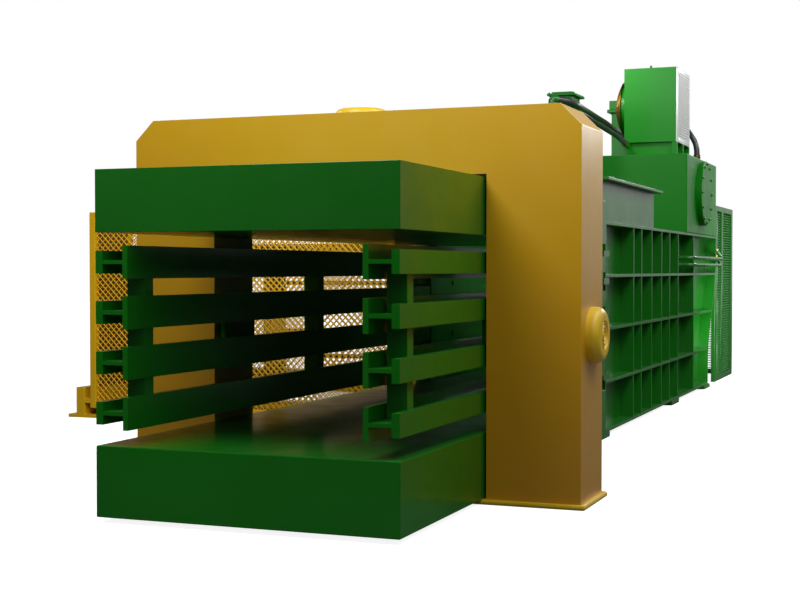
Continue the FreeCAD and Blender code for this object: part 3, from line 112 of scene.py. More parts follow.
def spread(tree, source, low, high, toLow, toHigh):
    span = addNode(tree, "ShaderNodeMapRange")
    span.inputs["From Min"].default_value = low
    span.inputs["From Max"].default_value = high
    span.inputs["To Min"].default_value = toLow
    span.inputs["To Max"].default_value = toHigh
    tree.links.new(source, span.inputs["Value"])
    return span.outputs["Result"]


def between(tree, amount, first, second):
    # from the first colour to the second, each a tone or another node's output;
    # a Mix node's colours are its inputs 6 and 7 and its output 2
    mix = addNode(tree, "ShaderNodeMix", data_type="RGBA")
    tree.links.new(amount, mix.inputs["Factor"])
    for socket, value in ((mix.inputs[6], first), (mix.inputs[7], second)):
        if isinstance(value, tuple):
            socket.default_value = (*value, 1)
        else:
            tree.links.new(value, socket)
    return mix.outputs[2]


def combine(tree, operation, first, second):
    made = addNode(tree, "ShaderNodeMath", operation=operation)
    tree.links.new(first, made.inputs[0])
    tree.links.new(second, made.inputs[1])
    return made.outputs[0]


def ripple(tree, shader, height, distance, strength):
    bump = addNode(tree, "ShaderNodeBump", Strength=strength, Distance=distance)
    tree.links.new(height, bump.inputs["Height"])
    tree.links.new(bump.outputs["Normal"], shader.inputs["Normal"])


# a cloud is the scale, detail and roughness of a noise, and a band is the part of it that shows
usualBand = (0.3, 0.7)
sprayValues = {
    "driftCloud": (0.9, 4),
    "speckCloud": (38, 5, 0.65), "speckBand": (0.56, 0.74), "speckShade": 0.55, "speckGrey": 0.01,
    "dustCloud": (3.1, 5), "dustBand": (0.32, 0.72), "dustFaces": (0.35, 0.95),
    "dustGrey": 0.16, "dustShade": 0.45,
    "glossCloud": (5.5, 4), "glossSwing": (0.85, 1.2),
    "peelDetail": 2, "peelStrength": 0.55,
}
polishValues = {
    "lineCloud": (60, 5, 0.7), "lineShade": 0.78, "lineStrength": 0.4,
    "stainCloud": (7, 5, 0.6), "stainBand": (0.5, 0.78),
    "glossBand": (0.25, 0.75), "glossSwing": (0.75, 1.3),
}
wearValues = {
    "wornCloud": (14, 5, 0.6), "wornBand": (0.42, 0.72),
    "glossCloud": (30, 3), "glossSwing": (0.85, 1.2),
    "skinCloud": (420, 3), "skinHeight": 0.0004, "skinStrength": 0.5,
}


def swung(rough, swing):
    return rough * swing[0], rough * swing[1]


def paint(name, values):
    # sprayed gloss paint on plate: slow drift of tone, orange peel, dust on the faces that look up, and
    # painted shade at the foot of a piece that asks for it
    spray = sprayValues
    material, tree, shader = newMaterial(name)
    point = objectPoint(tree)
    tone = values["tone"]
    drift = spread(tree, cloud(tree, point, *spray["driftCloud"]), *usualBand, 0, 1)
    colour = between(tree, drift, tone, tuple(c * values["drift"] for c in tone))
    if "low" in values:
        # painted shade: the foot of a tall piece is painted darker than its top, standing in for the light
        # that falls off towards the floor
        rise = spread(tree, part(tree, point, "Z"), *values["reach"], 0, 1)
        colour = between(tree, rise, values["low"], colour)
    specks = spread(tree, cloud(tree, point, *spray["speckCloud"]), *spray["speckBand"], 0, values["speck"])
    colour = between(tree, specks, colour, tuple(c * spray["speckShade"] + spray["speckGrey"] for c in tone))
    face = addNode(tree, "ShaderNodeNewGeometry")
    upward = spread(tree, part(tree, face.outputs["Normal"], "Z"), *spray["dustFaces"], 0, 1)
    settled = spread(tree, cloud(tree, point, *spray["dustCloud"]), *spray["dustBand"], 0, values["dust"])
    dust = combine(tree, "MULTIPLY", upward, settled)
    colour = between(tree, dust, colour, tuple(spray["dustGrey"] + c * spray["dustShade"] for c in tone))
    tree.links.new(colour, shader.inputs["Base Color"])
    gloss = spread(tree, cloud(tree, point, *spray["glossCloud"]), *usualBand,
                   *swung(values["rough"], spray["glossSwing"]))
    tree.links.new(gloss, shader.inputs["Roughness"])
    shader.inputs["IOR"].default_value = values.get("ior", 1.5)
    shader.inputs["Coat Weight"].default_value = values.get("coat", 0.25)
    shader.inputs["Coat Roughness"].default_value = values.get("coatRough", 0.12)
    peel = cloud(tree, point, values["peel"], spray["peelDetail"])
    ripple(tree, shader, peel, values["peelHeight"], spray["peelStrength"])
    return material


def metal(name, values):
    # bare or plated metal: fine turning or drawing lines along one axis
    polish = polishValues
    material, tree, shader = newMaterial(name)
    lines = cloud(tree, objectPoint(tree, values["grain"]), *polish["lineCloud"])
    tone = values["tone"]
    colour = between(tree, spread(tree, lines, *usualBand, 0, 1), tone,
                     tuple(c * polish["lineShade"] for c in tone))
    stain = spread(tree, cloud(tree, objectPoint(tree), *polish["stainCloud"]), *polish["stainBand"],
                   0, values["stain"])
    colour = between(tree, stain, colour, values["stainTone"])
    tree.links.new(colour, shader.inputs["Base Color"])
    gloss = spread(tree, lines, *polish["glossBand"], *swung(values["rough"], polish["glossSwing"]))
    tree.links.new(gloss, shader.inputs["Roughness"])
    shader.inputs["Metallic"].default_value = 1.0
    ripple(tree, shader, lines, values["lineHeight"], polish["lineStrength"])
    return material


def rubber(name, values):
    # hose rubber: rubbed lighter in patches, with a fine grained skin
    wear = wearValues
    material, tree, shader = newMaterial(name)
    point = objectPoint(tree)
    worn = spread(tree, cloud(tree, point, *wear["wornCloud"]), *wear["wornBand"], 0, 1)
    tree.links.new(between(tree, worn, values["tone"], values["wornTone"]), shader.inputs["Base Color"])
    gloss = spread(tree, cloud(tree, point, *wear["glossCloud"]), *usualBand,
                   *swung(values["rough"], wear["glossSwing"]))
    tree.links.new(gloss, shader.inputs["Roughness"])
    shader.inputs["Specular IOR Level"].default_value = values["shine"]
    ripple(tree, shader, cloud(tree, point, *wear["skinCloud"]), wear["skinHeight"], wear["skinStrength"])
    return material


paintValues = {
    # the portal's low tone is painted shade, full below 0.2 m and gone above 2.2 m
    "portal_paint": {"tone": (0.770, 0.440, 0.004), "low": (0.640, 0.305, 0.002), "reach": (0.2, 2.2),
                     "drift": 0.94, "speck": 0.07, "dust": 0.16, "rough": 0.44,
                     "ior": 1.5, "coat": 0.7, "coatRough": 0.30, "peel": 260, "peelHeight": 0.0006},
    "cap_paint": {"tone": (0.880, 0.580, 0.016), "drift": 0.95, "speck": 0.05, "dust": 0.05, "rough": 0.42,
                  "ior": 1.5, "coat": 0.25, "coatRough": 0.22, "peel": 300, "peelHeight": 0.0004},
    "channel_green": {"tone": (0.004, 0.200, 0.004), "drift": 0.84, "speck": 0.14, "dust": 0.10,
                      "rough": 0.36, "ior": 1.38, "coat": 0.30, "coatRough": 0.12, "peel": 260,
                      "peelHeight": 0.0006},
    "frame_green": {"tone": (0.006, 0.180, 0.006), "drift": 0.88, "speck": 0.10, "dust": 0.08, "rough": 0.34,
                    "ior": 1.5, "coat": 0.45, "coatRough": 0.20, "peel": 260, "peelHeight": 0.0006},
    "unit_green": {"tone": (0.004, 0.245, 0.005), "drift": 0.93, "speck": 0.05, "dust": 0.12, "rough": 0.36,
                   "ior": 1.30, "coat": 0.12, "coatRough": 0.16, "peel": 300, "peelHeight": 0.0005},
    "cylinder_green": {"tone": (0.014, 0.170, 0.016), "drift": 0.86, "speck": 0.14, "dust": 0.12,
                       "rough": 0.32, "peel": 280, "peelHeight": 0.0005},
    "louvre_paint": {"tone": (0.84, 0.88, 0.84), "drift": 0.96, "speck": 0.05, "dust": 0.12, "rough": 0.40,
                     "ior": 1.6, "coat": 0.6, "coatRough": 0.20, "peel": 320, "peelHeight": 0.0003},
    "pipe_steel": {"tone": (0.030, 0.260, 0.034), "drift": 0.90, "speck": 0.10, "dust": 0.06, "rough": 0.28,
                   "coat": 0.5, "peel": 320, "peelHeight": 0.0001},
    "mesh_green": {"tone": (0.060, 0.360, 0.062), "drift": 0.90, "speck": 0.10, "dust": 0.16, "rough": 0.38,
                   "ior": 1.4, "coat": 0.1, "peel": 400, "peelHeight": 0.0003},
    "fence_yellow": {"tone": (0.860, 0.500, 0.008), "drift": 0.94, "speck": 0.08, "dust": 0.10,
                     "rough": 0.36, "ior": 1.42, "coat": 0.2, "coatRough": 0.20, "peel": 300,
                     "peelHeight": 0.0004},
    "fence_brown": {"tone": (0.190, 0.085, 0.012), "drift": 0.86, "speck": 0.14, "dust": 0.12, "rough": 0.42,
                    "peel": 300, "peelHeight": 0.0005},
    "motor_grey": {"tone": (0.060, 0.066, 0.068), "drift": 0.85, "speck": 0.20, "dust": 0.22, "rough": 0.48,
                   "peel": 240, "peelHeight": 0.0006},
    "fan_plastic": {"tone": (0.018, 0.018, 0.020), "drift": 0.80, "speck": 0.15, "dust": 0.20, "rough": 0.50,
                    "peel": 420, "peelHeight": 0.0003},
}
metalValues = {
    "cylinder_steel": {"tone": (0.52, 0.53, 0.54), "grain": (1, 12, 12), "rough": 0.34, "lineHeight": 0.0004,
                       "stain": 0.30, "stainTone": (0.20, 0.18, 0.15)},
    "rod_chrome": {"tone": (0.80, 0.80, 0.81), "grain": (1, 1, 1), "rough": 0.12, "lineHeight": 0.00008,
                   "stain": 0.10, "stainTone": (0.50, 0.47, 0.42)},
    "core_metal": {"tone": (0.46, 0.47, 0.48), "grain": (1, 1, 30), "rough": 0.48, "lineHeight": 0.0015,
                   "stain": 0.35, "stainTone": (0.22, 0.21, 0.19)},
    "guard_wire": {"tone": (0.36, 0.21, 0.035), "grain": (6, 6, 6), "rough": 0.44, "lineHeight": 0.0002,
                   "stain": 0.50, "stainTone": (0.17, 0.08, 0.018)},
    "blade_steel": {"tone": (0.42, 0.43, 0.45), "grain": (1, 20, 20), "rough": 0.28, "lineHeight": 0.0003,
                    "stain": 0.30, "stainTone": (0.24, 0.20, 0.16)},
    "fitting_brass": {"tone": (0.78, 0.56, 0.14), "grain": (4, 4, 4), "rough": 0.22, "lineHeight": 0.0002,
                      "stain": 0.25, "stainTone": (0.42, 0.27, 0.08)},
    "needle_steel": {"tone": (0.60, 0.61, 0.62), "grain": (1, 16, 16), "rough": 0.22, "lineHeight": 0.0002,
                     "stain": 0.20, "stainTone": (0.30, 0.27, 0.23)},
    "pin_steel": {"tone": (0.50, 0.51, 0.52), "grain": (1, 1, 6), "rough": 0.32, "lineHeight": 0.0003,
                  "stain": 0.35, "stainTone": (0.24, 0.20, 0.16)},
}
rubberValues = {
    "hose_rubber": {"tone": (0.052, 0.051, 0.056), "wornTone": (0.088, 0.085, 0.090), "rough": 0.34,
                    "shine": 0.9},
}
finishes = {}
for makeFinish, table in ((paint, paintValues), (metal, metalValues), (rubber, rubberValues)):
    for slotName, values in table.items():
        finishes[slotName] = makeFinish(slotName, values)
print("finishes made:", len(finishes))

# the hoses, along the same points as the solids
hoseValues = {
    "upperHose": {"node": "upper_hose", "radius": 0.024, "length": 2.155, "lay": "hanging",
                  "route": [(-0.240, 4.706, 2.508), (-0.179, 4.749, 2.500), (-0.135, 4.810, 2.482),
                            (-0.113, 4.882, 2.468), (-0.118, 5.027, 2.462), (-0.128, 5.290, 2.460),
                            (-0.144, 5.700, 2.450), (-0.154, 6.130, 2.440), (-0.174, 6.520, 2.416),
                            (-0.174, 6.808, 2.416)]},
    "lowerHose": {"node": "lower_hose", "radius": 0.024, "length": 0.944, "lay": "hanging",
                  "route": [(-0.215, 5.113, 2.462), (-0.215, 5.200, 2.462), (-0.198, 5.310, 2.443),
                            (-0.150, 5.460, 2.408), (-0.096, 5.640, 2.370), (-0.046, 5.800, 2.330),
                            (0.000, 5.903, 2.297), (0.052, 5.968, 2.236)]},
    "suctionHose": {"node": "suction_hose", "radius": 0.027, "length": 0.423, "lay": "loose",
                    "route": [(0.430, 6.663, 2.462), (0.430, 6.755, 2.462), (0.458, 6.829, 2.420),
                              (0.506, 6.850, 2.345), (0.540, 6.836, 2.265), (0.540, 6.836, 2.195)]},
    "upperLineHose": {"node": "upper_line_hose", "radius": 0.017, "length": 0.929, "lay": "hanging",
                      "route": [(0.652, 7.363, 1.286), (0.5992, 7.363, 1.3663), (0.500, 7.360, 1.400),
                                (0.350, 7.352, 1.390), (0.160, 7.345, 1.330), (0.045, 7.338, 1.240),
                                (-0.010, 7.335, 1.125), (-0.010, 7.335, 1.010)]},
    "lowerLineHose": {"node": "lower_line_hose", "radius": 0.017, "length": 0.783, "lay": "hanging",
                      "route": [(0.652, 7.308, 1.224), (0.5992, 7.308, 1.3043), (0.505, 7.310, 1.334),
                                (0.362, 7.318, 1.318), (0.235, 7.326, 1.258), (0.125, 7.333, 1.170),
                                (0.080, 7.335, 1.085), (0.080, 7.335, 1.010)]},
}
hoseShape = {"steps": 12, "sides": 6, "stiffness": "stiff"}
for hoseName, values in hoseValues.items():
    curve = bpy.data.curves.new(hoseName, "CURVE")
    curve.dimensions = "3D"
    line = curve.splines.new("NURBS")
    line.points.add(len(values["route"]) - 1)
    for spot, corner in zip(line.points, values["route"]):
        spot.co = (*corner, 1)
    line.order_u = 3
    line.use_endpoint_u = True
    curve.resolution_u = hoseShape["steps"]
    curve.bevel_depth = values["radius"]
    curve.bevel_resolution = hoseShape["sides"]
    curve.use_fill_caps = True
    curve.materials.append(finishes["hose_rubber"])
    hose = bpy.data.objects.new(hoseName, curve)
    scene.collection.objects.link(hose)
    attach(hose, "frame")
    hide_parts(values["node"])
print("hoses laid:", len(hoseValues))


# ways of making a piece

# doubles in metres, sharpest edge that is still smooth in degrees, bevel of a head as a share of its height
pieceValues = {"doubles": 0.00001, "sharpest": 38, "headBevel": 0.16}


def addPiece(name, data, slotName, replaced):
    # everything made here stands on the frame of the baler
    piece = bpy.data.objects.new(name, data)
    scene.collection.objects.link(piece)
    data.materials.append(finishes[slotName])
    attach(piece, "frame")
    if replaced:
        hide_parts(replaced)


def solidPiece(name, form, slotName, replaced=None, sharpest=pieceValues["sharpest"]):
    # the finished mesh of a piece, smooth but for its real edges
    bmesh.ops.remove_doubles(form, verts=form.verts, dist=pieceValues["doubles"])
    bmesh.ops.recalc_face_normals(form, faces=form.faces)
    mesh = bpy.data.meshes.new(name)
    form.to_mesh(mesh)
    form.free()
    mesh.shade_smooth()
    mesh.set_sharp_from_angle(angle=math.radians(sharpest))
    addPiece(name, mesh, slotName, replaced)


def wirePiece(name, strands, radius, slotName, replaced, sides=1):
    # many straight or bent wires in one piece
    curve = bpy.data.curves.new(name, "CURVE")
    curve.dimensions = "3D"
    curve.bevel_depth = radius
    curve.bevel_resolution = sides
    curve.use_fill_caps = True
    for strand in strands:
        closed = strand[0] == strand[-1]
        spots = strand[:-1] if closed else strand
        line = curve.splines.new("POLY")
        line.points.add(len(spots) - 1)
        for spot, corner in zip(line.points, spots):
            spot.co = (*corner, 1)
        line.use_cyclic_u = closed
        line.use_smooth = True
    addPiece(name, curve, slotName, replaced)


def facing(direction):
    # turns +Z to the given direction
    return Vector((0, 0, 1)).rotation_difference(Vector(direction)).to_matrix().to_4x4()


def addTo(form, shape, move):
    # puts a finished shape into a larger form
    bmesh.ops.transform(shape, matrix=move, verts=shape.verts)
    carrier = bpy.data.meshes.new("carrier")
    shape.to_mesh(carrier)
    shape.free()
    form.from_mesh(carrier)
    bpy.data.meshes.remove(carrier)


def arc(middle, size, start, end, steps=6):
    # points of an outline round its middle, from one angle in degrees to the other
    turns = [math.radians(start + (end - start) * i / steps) for i in range(steps + 1)]
    return [(middle[0] + size[0] * math.cos(turn), middle[1] + size[1] * math.sin(turn)) for turn in turns]


def turnedForm(form, outline, spot, direction, steps):
    # an outline of (radius, height) spun round the axis through spot
    shape = bmesh.new()
    corners = [shape.verts.new((radius, 0, height)) for radius, height in outline]
    edges = [shape.edges.new((first, second)) for first, second in zip(corners, corners[1:])]
    bmesh.ops.spin(shape, geom=corners + edges, cent=(0, 0, 0), axis=(0, 0, 1), angle=math.tau,
                   steps=steps, use_merge=True)
    bmesh.ops.remove_doubles(shape, verts=shape.verts, dist=pieceValues["doubles"])
    addTo(form, shape, Matrix.Translation(spot) @ facing(direction))


def hexForm(form, spot, direction, across, high, turn):
    # a hexagon nut or head with a rounded top edge
    shape = bmesh.new()
    bmesh.ops.create_cone(shape, cap_ends=True, segments=6, radius1=across / math.sqrt(3),
                          radius2=across / math.sqrt(3), depth=high)
    top = [edge for edge in shape.edges if all(vert.co.z > 0 for vert in edge.verts)]
    bmesh.ops.bevel(shape, geom=top, offset=high * pieceValues["headBevel"], affect="EDGES", segments=2,
                    profile=0.5, material=-1)
    move = Matrix.Translation(spot) @ facing(direction) @ Matrix.Rotation(turn, 4, "Z")
    addTo(form, shape, move @ Matrix.Translation((0, 0, high / 2)))


def blockForm(form, low, high, bend):
    # a plate between two corners, with its edges broken
    shape = bmesh.new()
    bmesh.ops.create_cube(shape, size=1)
    bmesh.ops.scale(shape, vec=Vector(high) - Vector(low), verts=shape.verts)
    bmesh.ops.translate(shape, vec=(Vector(low) + Vector(high)) / 2, verts=shape.verts)
    bmesh.ops.bevel(shape, geom=shape.edges[:], offset=bend, affect="EDGES", segments=2, profile=0.5,
                    material=-1)
    addTo(form, shape, Matrix.Identity(4))


def profileAlongY(form, corners, start, end):
    # a closed outline of (x, z) corners pushed along Y
    shape = bmesh.new()
    face = shape.faces.new([shape.verts.new((x, start, z)) for x, z in corners])
    pushed = bmesh.ops.extrude_face_region(shape, geom=[face])
    moved = [item for item in pushed["geom"] if isinstance(item, bmesh.types.BMVert)]
    bmesh.ops.translate(shape, verts=moved, vec=(0, end - start, 0))
    addTo(form, shape, Matrix.Identity(4))


# woven sheets of the fence; lap is how far each layer of wire stands off the middle, in radii
fenceValues = {"pitch": 0.0465, "wire": 0.0046, "inset": 0.003, "lap": 0.92, "shortest": 0.0093}
fenceLow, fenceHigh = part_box("fence_mesh")


def slantedWires(level, lean):
    # parallel wires at 45 degrees, each cut off where it meets the frame; lean is 1 or -1
    wires = []
    low, high = fenceLow.z, fenceHigh.z
    left, right = fenceLow.x, fenceHigh.x
    tall = high - low
    start = left - tall if lean > 0 else left
    while start < right + tall:
        foot = max(0.0, (left - start) if lean > 0 else (start - right))
        head = min(tall, (right - start) if lean > 0 else (start - left))
        if head - foot > fenceValues["shortest"]:
            wires.append([(start + lean * foot, level, low + foot), (start + lean * head, level, low + head)])
        start += fenceValues["pitch"]
    return wires


for sheetName, middle in (("frontFenceWeave", fenceLow.y + fenceValues["inset"]),
                          ("rearFenceWeave", fenceHigh.y - fenceValues["inset"])):
    wires = []
    for lean in (-1, 1):
        wires += slantedWires(middle + lean * fenceValues["wire"] * fenceValues["lap"], lean)
    wirePiece(sheetName, wires, fenceValues["wire"], "fence_yellow", "fence_mesh")
    print(sheetName, len(wires), "wires")

# welded mesh of the cage, on each flat sheet of its node
cageValues = {"lift": 0.0250, "bar": 0.0055, "column": 0.030, "post": 0.0016, "merge": 0.00005}
levelWires = []
uprightWires = []


def cagePanel(corner, across, wide, high):
    # level wires close together, welded to thinner upright ones behind them
    behind = Vector((-across.y, across.x, 0)) * (cageValues["bar"] + cageValues["post"])
    for i in range(int(high / cageValues["lift"])):
        rise = Vector((0, 0, (i + 0.5) * cageValues["lift"]))
        levelWires.append([tuple(corner + rise), tuple(corner + across * wide + rise)])
    for i in range(int(wide / cageValues["column"])):
        foot = corner + across * (i + 0.5) * cageValues["column"] + behind
        uprightWires.append([tuple(foot), tuple(foot + Vector((0, 0, high)))])


cageMesh = bmesh.new()
cageMesh.from_mesh(nodes["cage_mesh"].data)
bmesh.ops.remove_doubles(cageMesh, verts=cageMesh.verts, dist=cageValues["merge"])
seen = set()
for first in cageMesh.verts:
    if first in seen:
        continue
    # the vertices that hang together make one sheet
    seen.add(first)
    sheet = [first]
    for vert in sheet:
        for edge in vert.link_edges:
            other = edge.other_vert(vert)
            if other not in seen:
                seen.add(other)
                sheet.append(other)
    low = Vector([min(vert.co[k] for vert in sheet) for k in range(3)])
    high = Vector([max(vert.co[k] for vert in sheet) for k in range(3)])
    middle = (low + high) / 2
    size = high - low
    if size.x < size.y:
        cagePanel(Vector((middle.x, low.y, low.z)), Vector((0, 1, 0)), size.y, size.z)
    else:
        cagePanel(Vector((low.x, middle.y, low.z)), Vector((1, 0, 0)), size.x, size.z)
cageMesh.free()
wirePiece("cageLevelWires", levelWires, cageValues["bar"], "mesh_green", "cage_mesh", sides=0)
wirePiece("cageUprightWires", uprightWires, cageValues["post"], "mesh_green", "cage_mesh", sides=0)
print("cage level wires:", len(levelWires))

# fan shroud on the cooler's left face, a flanged ring
shroudValues = {"inner": 0.220, "outer": 0.228, "deep": 0.057, "flange": 0.266, "plate": 0.005, "bend": 0.010,
                "steps": 96, "sharpest": 50}
shroudLow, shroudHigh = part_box("fan_shroud")
fanMiddle = (shroudLow + shroudHigh) / 2
fanMiddle.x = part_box("cooler_housing")[0].x
outward = (-1, 0, 0)
inner, outer = shroudValues["inner"], shroudValues["outer"]
deep, plate, bend = shroudValues["deep"], shroudValues["plate"], shroudValues["bend"]
shroudForm = bmesh.new()
shroudOutline = [(inner, 0), (shroudValues["flange"], 0), (shroudValues["flange"], plate)]
shroudOutline += arc((outer + bend, plate + bend), (bend, bend), 270, 180)
shroudOutline += [(outer, deep), (inner, deep), (inner, 0)]
turnedForm(shroudForm, shroudOutline, fanMiddle, outward, shroudValues["steps"])
solidPiece("fanShroudRing", shroudForm, "unit_green", "fan_shroud", shroudValues["sharpest"])

# domed wire guard on the shroud; a share is a part of the way from its middle to its rim
guardValues = {"rings": 15, "spokes": 20, "ringWire": 0.0031, "spokeWire": 0.00288, "turns": 72,
               "reach": 0.249, "rise": 0.070, "spokeFrom": 0.11, "spokeSteps": 12, "rimThick": 0.003,
               "rimGap": 0.001}
guardFoot = fanMiddle.x - deep - guardValues["rimThick"] - guardValues["ringWire"]


def guardSpot(share, turn):
    reach = guardValues["reach"] * share
    out = guardFoot - guardValues["rise"] * (1 - share ** 2)
    return (out, fanMiddle.y + reach * math.cos(turn), fanMiddle.z + reach * math.sin(turn))


rings = []
for i in range(guardValues["rings"]):
    share = (i + 1) / guardValues["rings"]
    loop = [guardSpot(share, math.tau * k / guardValues["turns"]) for k in range(guardValues["turns"])]
    rings.append(loop + [loop[0]])
spokes = []
for i in range(guardValues["spokes"]):
    turn = math.tau * i / guardValues["spokes"]
    shares = [guardValues["spokeFrom"] + (1 - guardValues["spokeFrom"]) * k / guardValues["spokeSteps"]
              for k in range(guardValues["spokeSteps"] + 1)]
    spokes.append([guardSpot(share, turn) for share in shares])
wirePiece("fanGuardRings", rings, guardValues["ringWire"], "guard_wire", "fan_guard")
wirePiece("fanGuardSpokes", spokes, guardValues["spokeWire"], "guard_wire", "fan_guard")
rimForm = bmesh.new()
rimInner = inner + guardValues["rimGap"]
rimOutline = [(rimInner, 0), (guardValues["reach"], 0), (guardValues["reach"], guardValues["rimThick"]),
              (rimInner, guardValues["rimThick"]), (rimInner, 0)]
turnedForm(rimForm, rimOutline, fanMiddle - Vector((deep, 0, 0)), outward, guardValues["turns"])
solidPiece("fanGuardRim", rimForm, "guard_wire", "fan_guard")
print("fan guard:", len(rings), "rings")

# louvre panel of the cooler: a border of plates, and level blades flush with it
louvreValues = {"count": 25, "frontSet": 0.091, "rearSet": 0.020, "edge": 0.040, "blade": 0.72,
                "sheet": 0.0015, "back": 0.008, "bend": 0.0012, "bendOut": 0.8, "broken": 0.0004,
                "tuck": 0.003, "sideTuck": 0.002, "sharpest": 25}
louvreLow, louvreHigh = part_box("cooler_louvre")
louvreForm = bmesh.new()
slotFront = louvreLow.y + louvreValues["frontSet"]
slotRear = louvreHigh.y - louvreValues["rearSet"]
slotFoot = louvreLow.z + louvreValues["edge"]
slotTop = louvreHigh.z - louvreValues["edge"]
panelFace = louvreHigh.x
panelBack = panelFace - louvreValues["back"]
for low, high in (((panelBack, louvreLow.y, louvreLow.z), (panelFace, slotFront, louvreHigh.z)),
                  ((panelBack, slotRear, louvreLow.z), (panelFace, louvreHigh.y, louvreHigh.z)),
                  ((panelBack, slotFront, louvreLow.z), (panelFace, slotRear, slotFoot)),
                  ((panelBack, slotFront, slotTop), (panelFace, slotRear, louvreHigh.z))):
    blockForm(louvreForm, low, high, louvreValues["broken"])
louvrePitch = (slotTop - slotFoot) / louvreValues["count"]
sheet, bend, bendOut = louvreValues["sheet"], louvreValues["bend"], louvreValues["bendOut"]
for i in range(louvreValues["count"]):
    # the upper edge of a blade is folded back behind the next one
    foot = slotFoot + louvrePitch * i
    fold = foot + louvrePitch * louvreValues["blade"]
    tucked = foot + louvrePitch + louvreValues["tuck"]
    corners = [(panelFace - louvreValues["broken"], foot), (panelFace, foot + bend), (panelFace, fold - bend),
               (panelFace - bend * bendOut, fold + bend * (1 - bendOut)), (panelBack, tucked),
               (panelBack - sheet, tucked), (panelFace - sheet, fold - sheet), (panelFace - sheet, foot)]
    profileAlongY(louvreForm, corners, slotFront - louvreValues["sideTuck"],
                  slotRear + louvreValues["sideTuck"])
solidPiece("louvrePanel", louvreForm, "louvre_paint", "cooler_louvre", louvreValues["sharpest"])
print("louvre blades:", louvreValues["count"])

# cover of the top squeeze cylinder, with a recess for its rings
topCoverValues = {"rise": 0.036, "soft": 0.030, "softSteps": 8, "recess": 0.070, "draft": 0.004,
                  "steps": 96, "sharpest": 30}
ringValues = {"recess": 0.012, "crest": 0.0105, "half": 0.0045, "shoulder": 0.35, "flank": 0.8,
              "rings": ((0.059, 0.0), (0.041, 0.008), (0.024, 0.0)),    # radius and height of the foot
              "button": 0.011, "sunk": 0.0002, "steps": 64, "buttonSteps": 32, "sharpest": 60}
topLow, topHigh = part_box("top_cylinder_cap")
topRadius = (topHigh.x - topLow.x) / 2
topMiddle = (topLow + topHigh) / 2
topMiddle.z = topLow.z
rise = topCoverValues["rise"]
soft = topCoverValues["soft"]
topForm = bmesh.new()
topOutline = [(0, 0), (topRadius, 0)]
topOutline += arc((topRadius - soft, rise - soft), (soft, soft), 0, 90, topCoverValues["softSteps"])
topOutline += [(topCoverValues["recess"], rise),
               (topCoverValues["recess"] - topCoverValues["draft"], rise - ringValues["recess"]),
               (0, rise - ringValues["recess"])]
turnedForm(topForm, topOutline, topMiddle, (0, 0, 1), topCoverValues["steps"])
solidPiece("topCover", topForm, "cap_paint", "top_cylinder_cap", topCoverValues["sharpest"])


# rings turned in the recess of each of the three covers, round a button

def ridgeOutline(middle, foot):
    half = ringValues["half"]
    high = ringValues["crest"] - foot
    shoulder = foot + high * ringValues["shoulder"]
    crown = (half * ringValues["flank"], high * (1 - ringValues["shoulder"]))
    ridge = arc((middle, shoulder), crown, 180, 0)
    return [(middle - half, foot)] + ridge + [(middle + half, foot), (middle - half, foot)]


rightLow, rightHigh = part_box("right_cylinder_cap")
rightFace = (rightLow + rightHigh) / 2
rightFace.x = rightHigh.x
leftLow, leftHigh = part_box("left_cylinder_cap")
leftFace = (leftLow + leftHigh) / 2
leftFace.x = leftLow.x
topFace = topMiddle + Vector((0, 0, rise))
coverFaces = ((rightFace, (1, 0, 0)), (leftFace, (-1, 0, 0)), (topFace, (0, 0, 1)))
capRings = bmesh.new()
for face, towards in coverFaces:
    floorSpot = face - Vector(towards) * ringValues["recess"]
    for radius, foot in ringValues["rings"]:
        turnedForm(capRings, ridgeOutline(radius, foot), floorSpot, towards, ringValues["steps"])
    dome = arc((0, 0), (ringValues["button"], ringValues["crest"]), 0, 90)
    dome[0] = (ringValues["button"], -ringValues["sunk"])
    turnedForm(capRings, dome, floorSpot, towards, ringValues["buttonSteps"])
solidPiece("capRings", capRings, "cap_paint", sharpest=ringValues["sharpest"])
print("covers turned:", len(coverFaces))

# domed bolts round the manhole, each on a thin washer
domeValues = {"radius": 0.0125, "high": 0.014, "count": 12, "circle": 0.265, "steps": 16,
              "washer": 0.22, "washerFoot": 1.25, "washerEdge": 0.7, "washerTop": 1.15}    # shares
coverLow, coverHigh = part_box("manhole_cover")
coverMiddle = (coverLow + coverHigh) / 2
washer = domeValues["high"] * domeValues["washer"]
radius = domeValues["radius"]
washerFoot = radius * domeValues["washerFoot"]
domeOutline = [(washerFoot, 0), (washerFoot, washer * domeValues["washerEdge"]),
               (radius * domeValues["washerTop"], washer)]
domeOutline += arc((0, washer), (radius, domeValues["high"] - washer), 0, 90)
domes = bmesh.new()
for i in range(domeValues["count"]):
    turn = math.tau * i / domeValues["count"]
    spot = Vector((coverHigh.x, coverMiddle.y + domeValues["circle"] * math.cos(turn),
                   coverMiddle.z + domeValues["circle"] * math.sin(turn)))
    turnedForm(domes, domeOutline, spot, (1, 0, 0), domeValues["steps"])
solidPiece("manholeDomes", domes, "unit_green", "manhole_bolts")

# hexagon heads along both sides of the hopper's flange, none turned quite like the next
headValues = {"across": 0.024, "high": 0.0085, "count": 6, "fromSide": 0.0144, "fromEnd": 0.013, "turn": 0.3,
              "sharpest": 30}
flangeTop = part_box("hopper_flange")[1].z
boltLow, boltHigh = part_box("hopper_bolts")
boltFirst = boltLow.y + headValues["fromEnd"]
boltPitch = (boltHigh.y - headValues["fromEnd"] - boltFirst) / (headValues["count"] - 1)
heads = bmesh.new()
for side in (-1, 1):
    for i in range(headValues["count"]):
        spot = Vector((side * (boltHigh.x - headValues["fromSide"]), boltFirst + boltPitch * i, flangeTop))
        hexForm(heads, spot, (0, 0, 1), headValues["across"], headValues["high"], headValues["turn"] * i)
solidPiece("flangeHeads", heads, "frame_green", "hopper_bolts", headValues["sharpest"])
print("bolts set:", domeValues["count"] + 2 * headValues["count"])

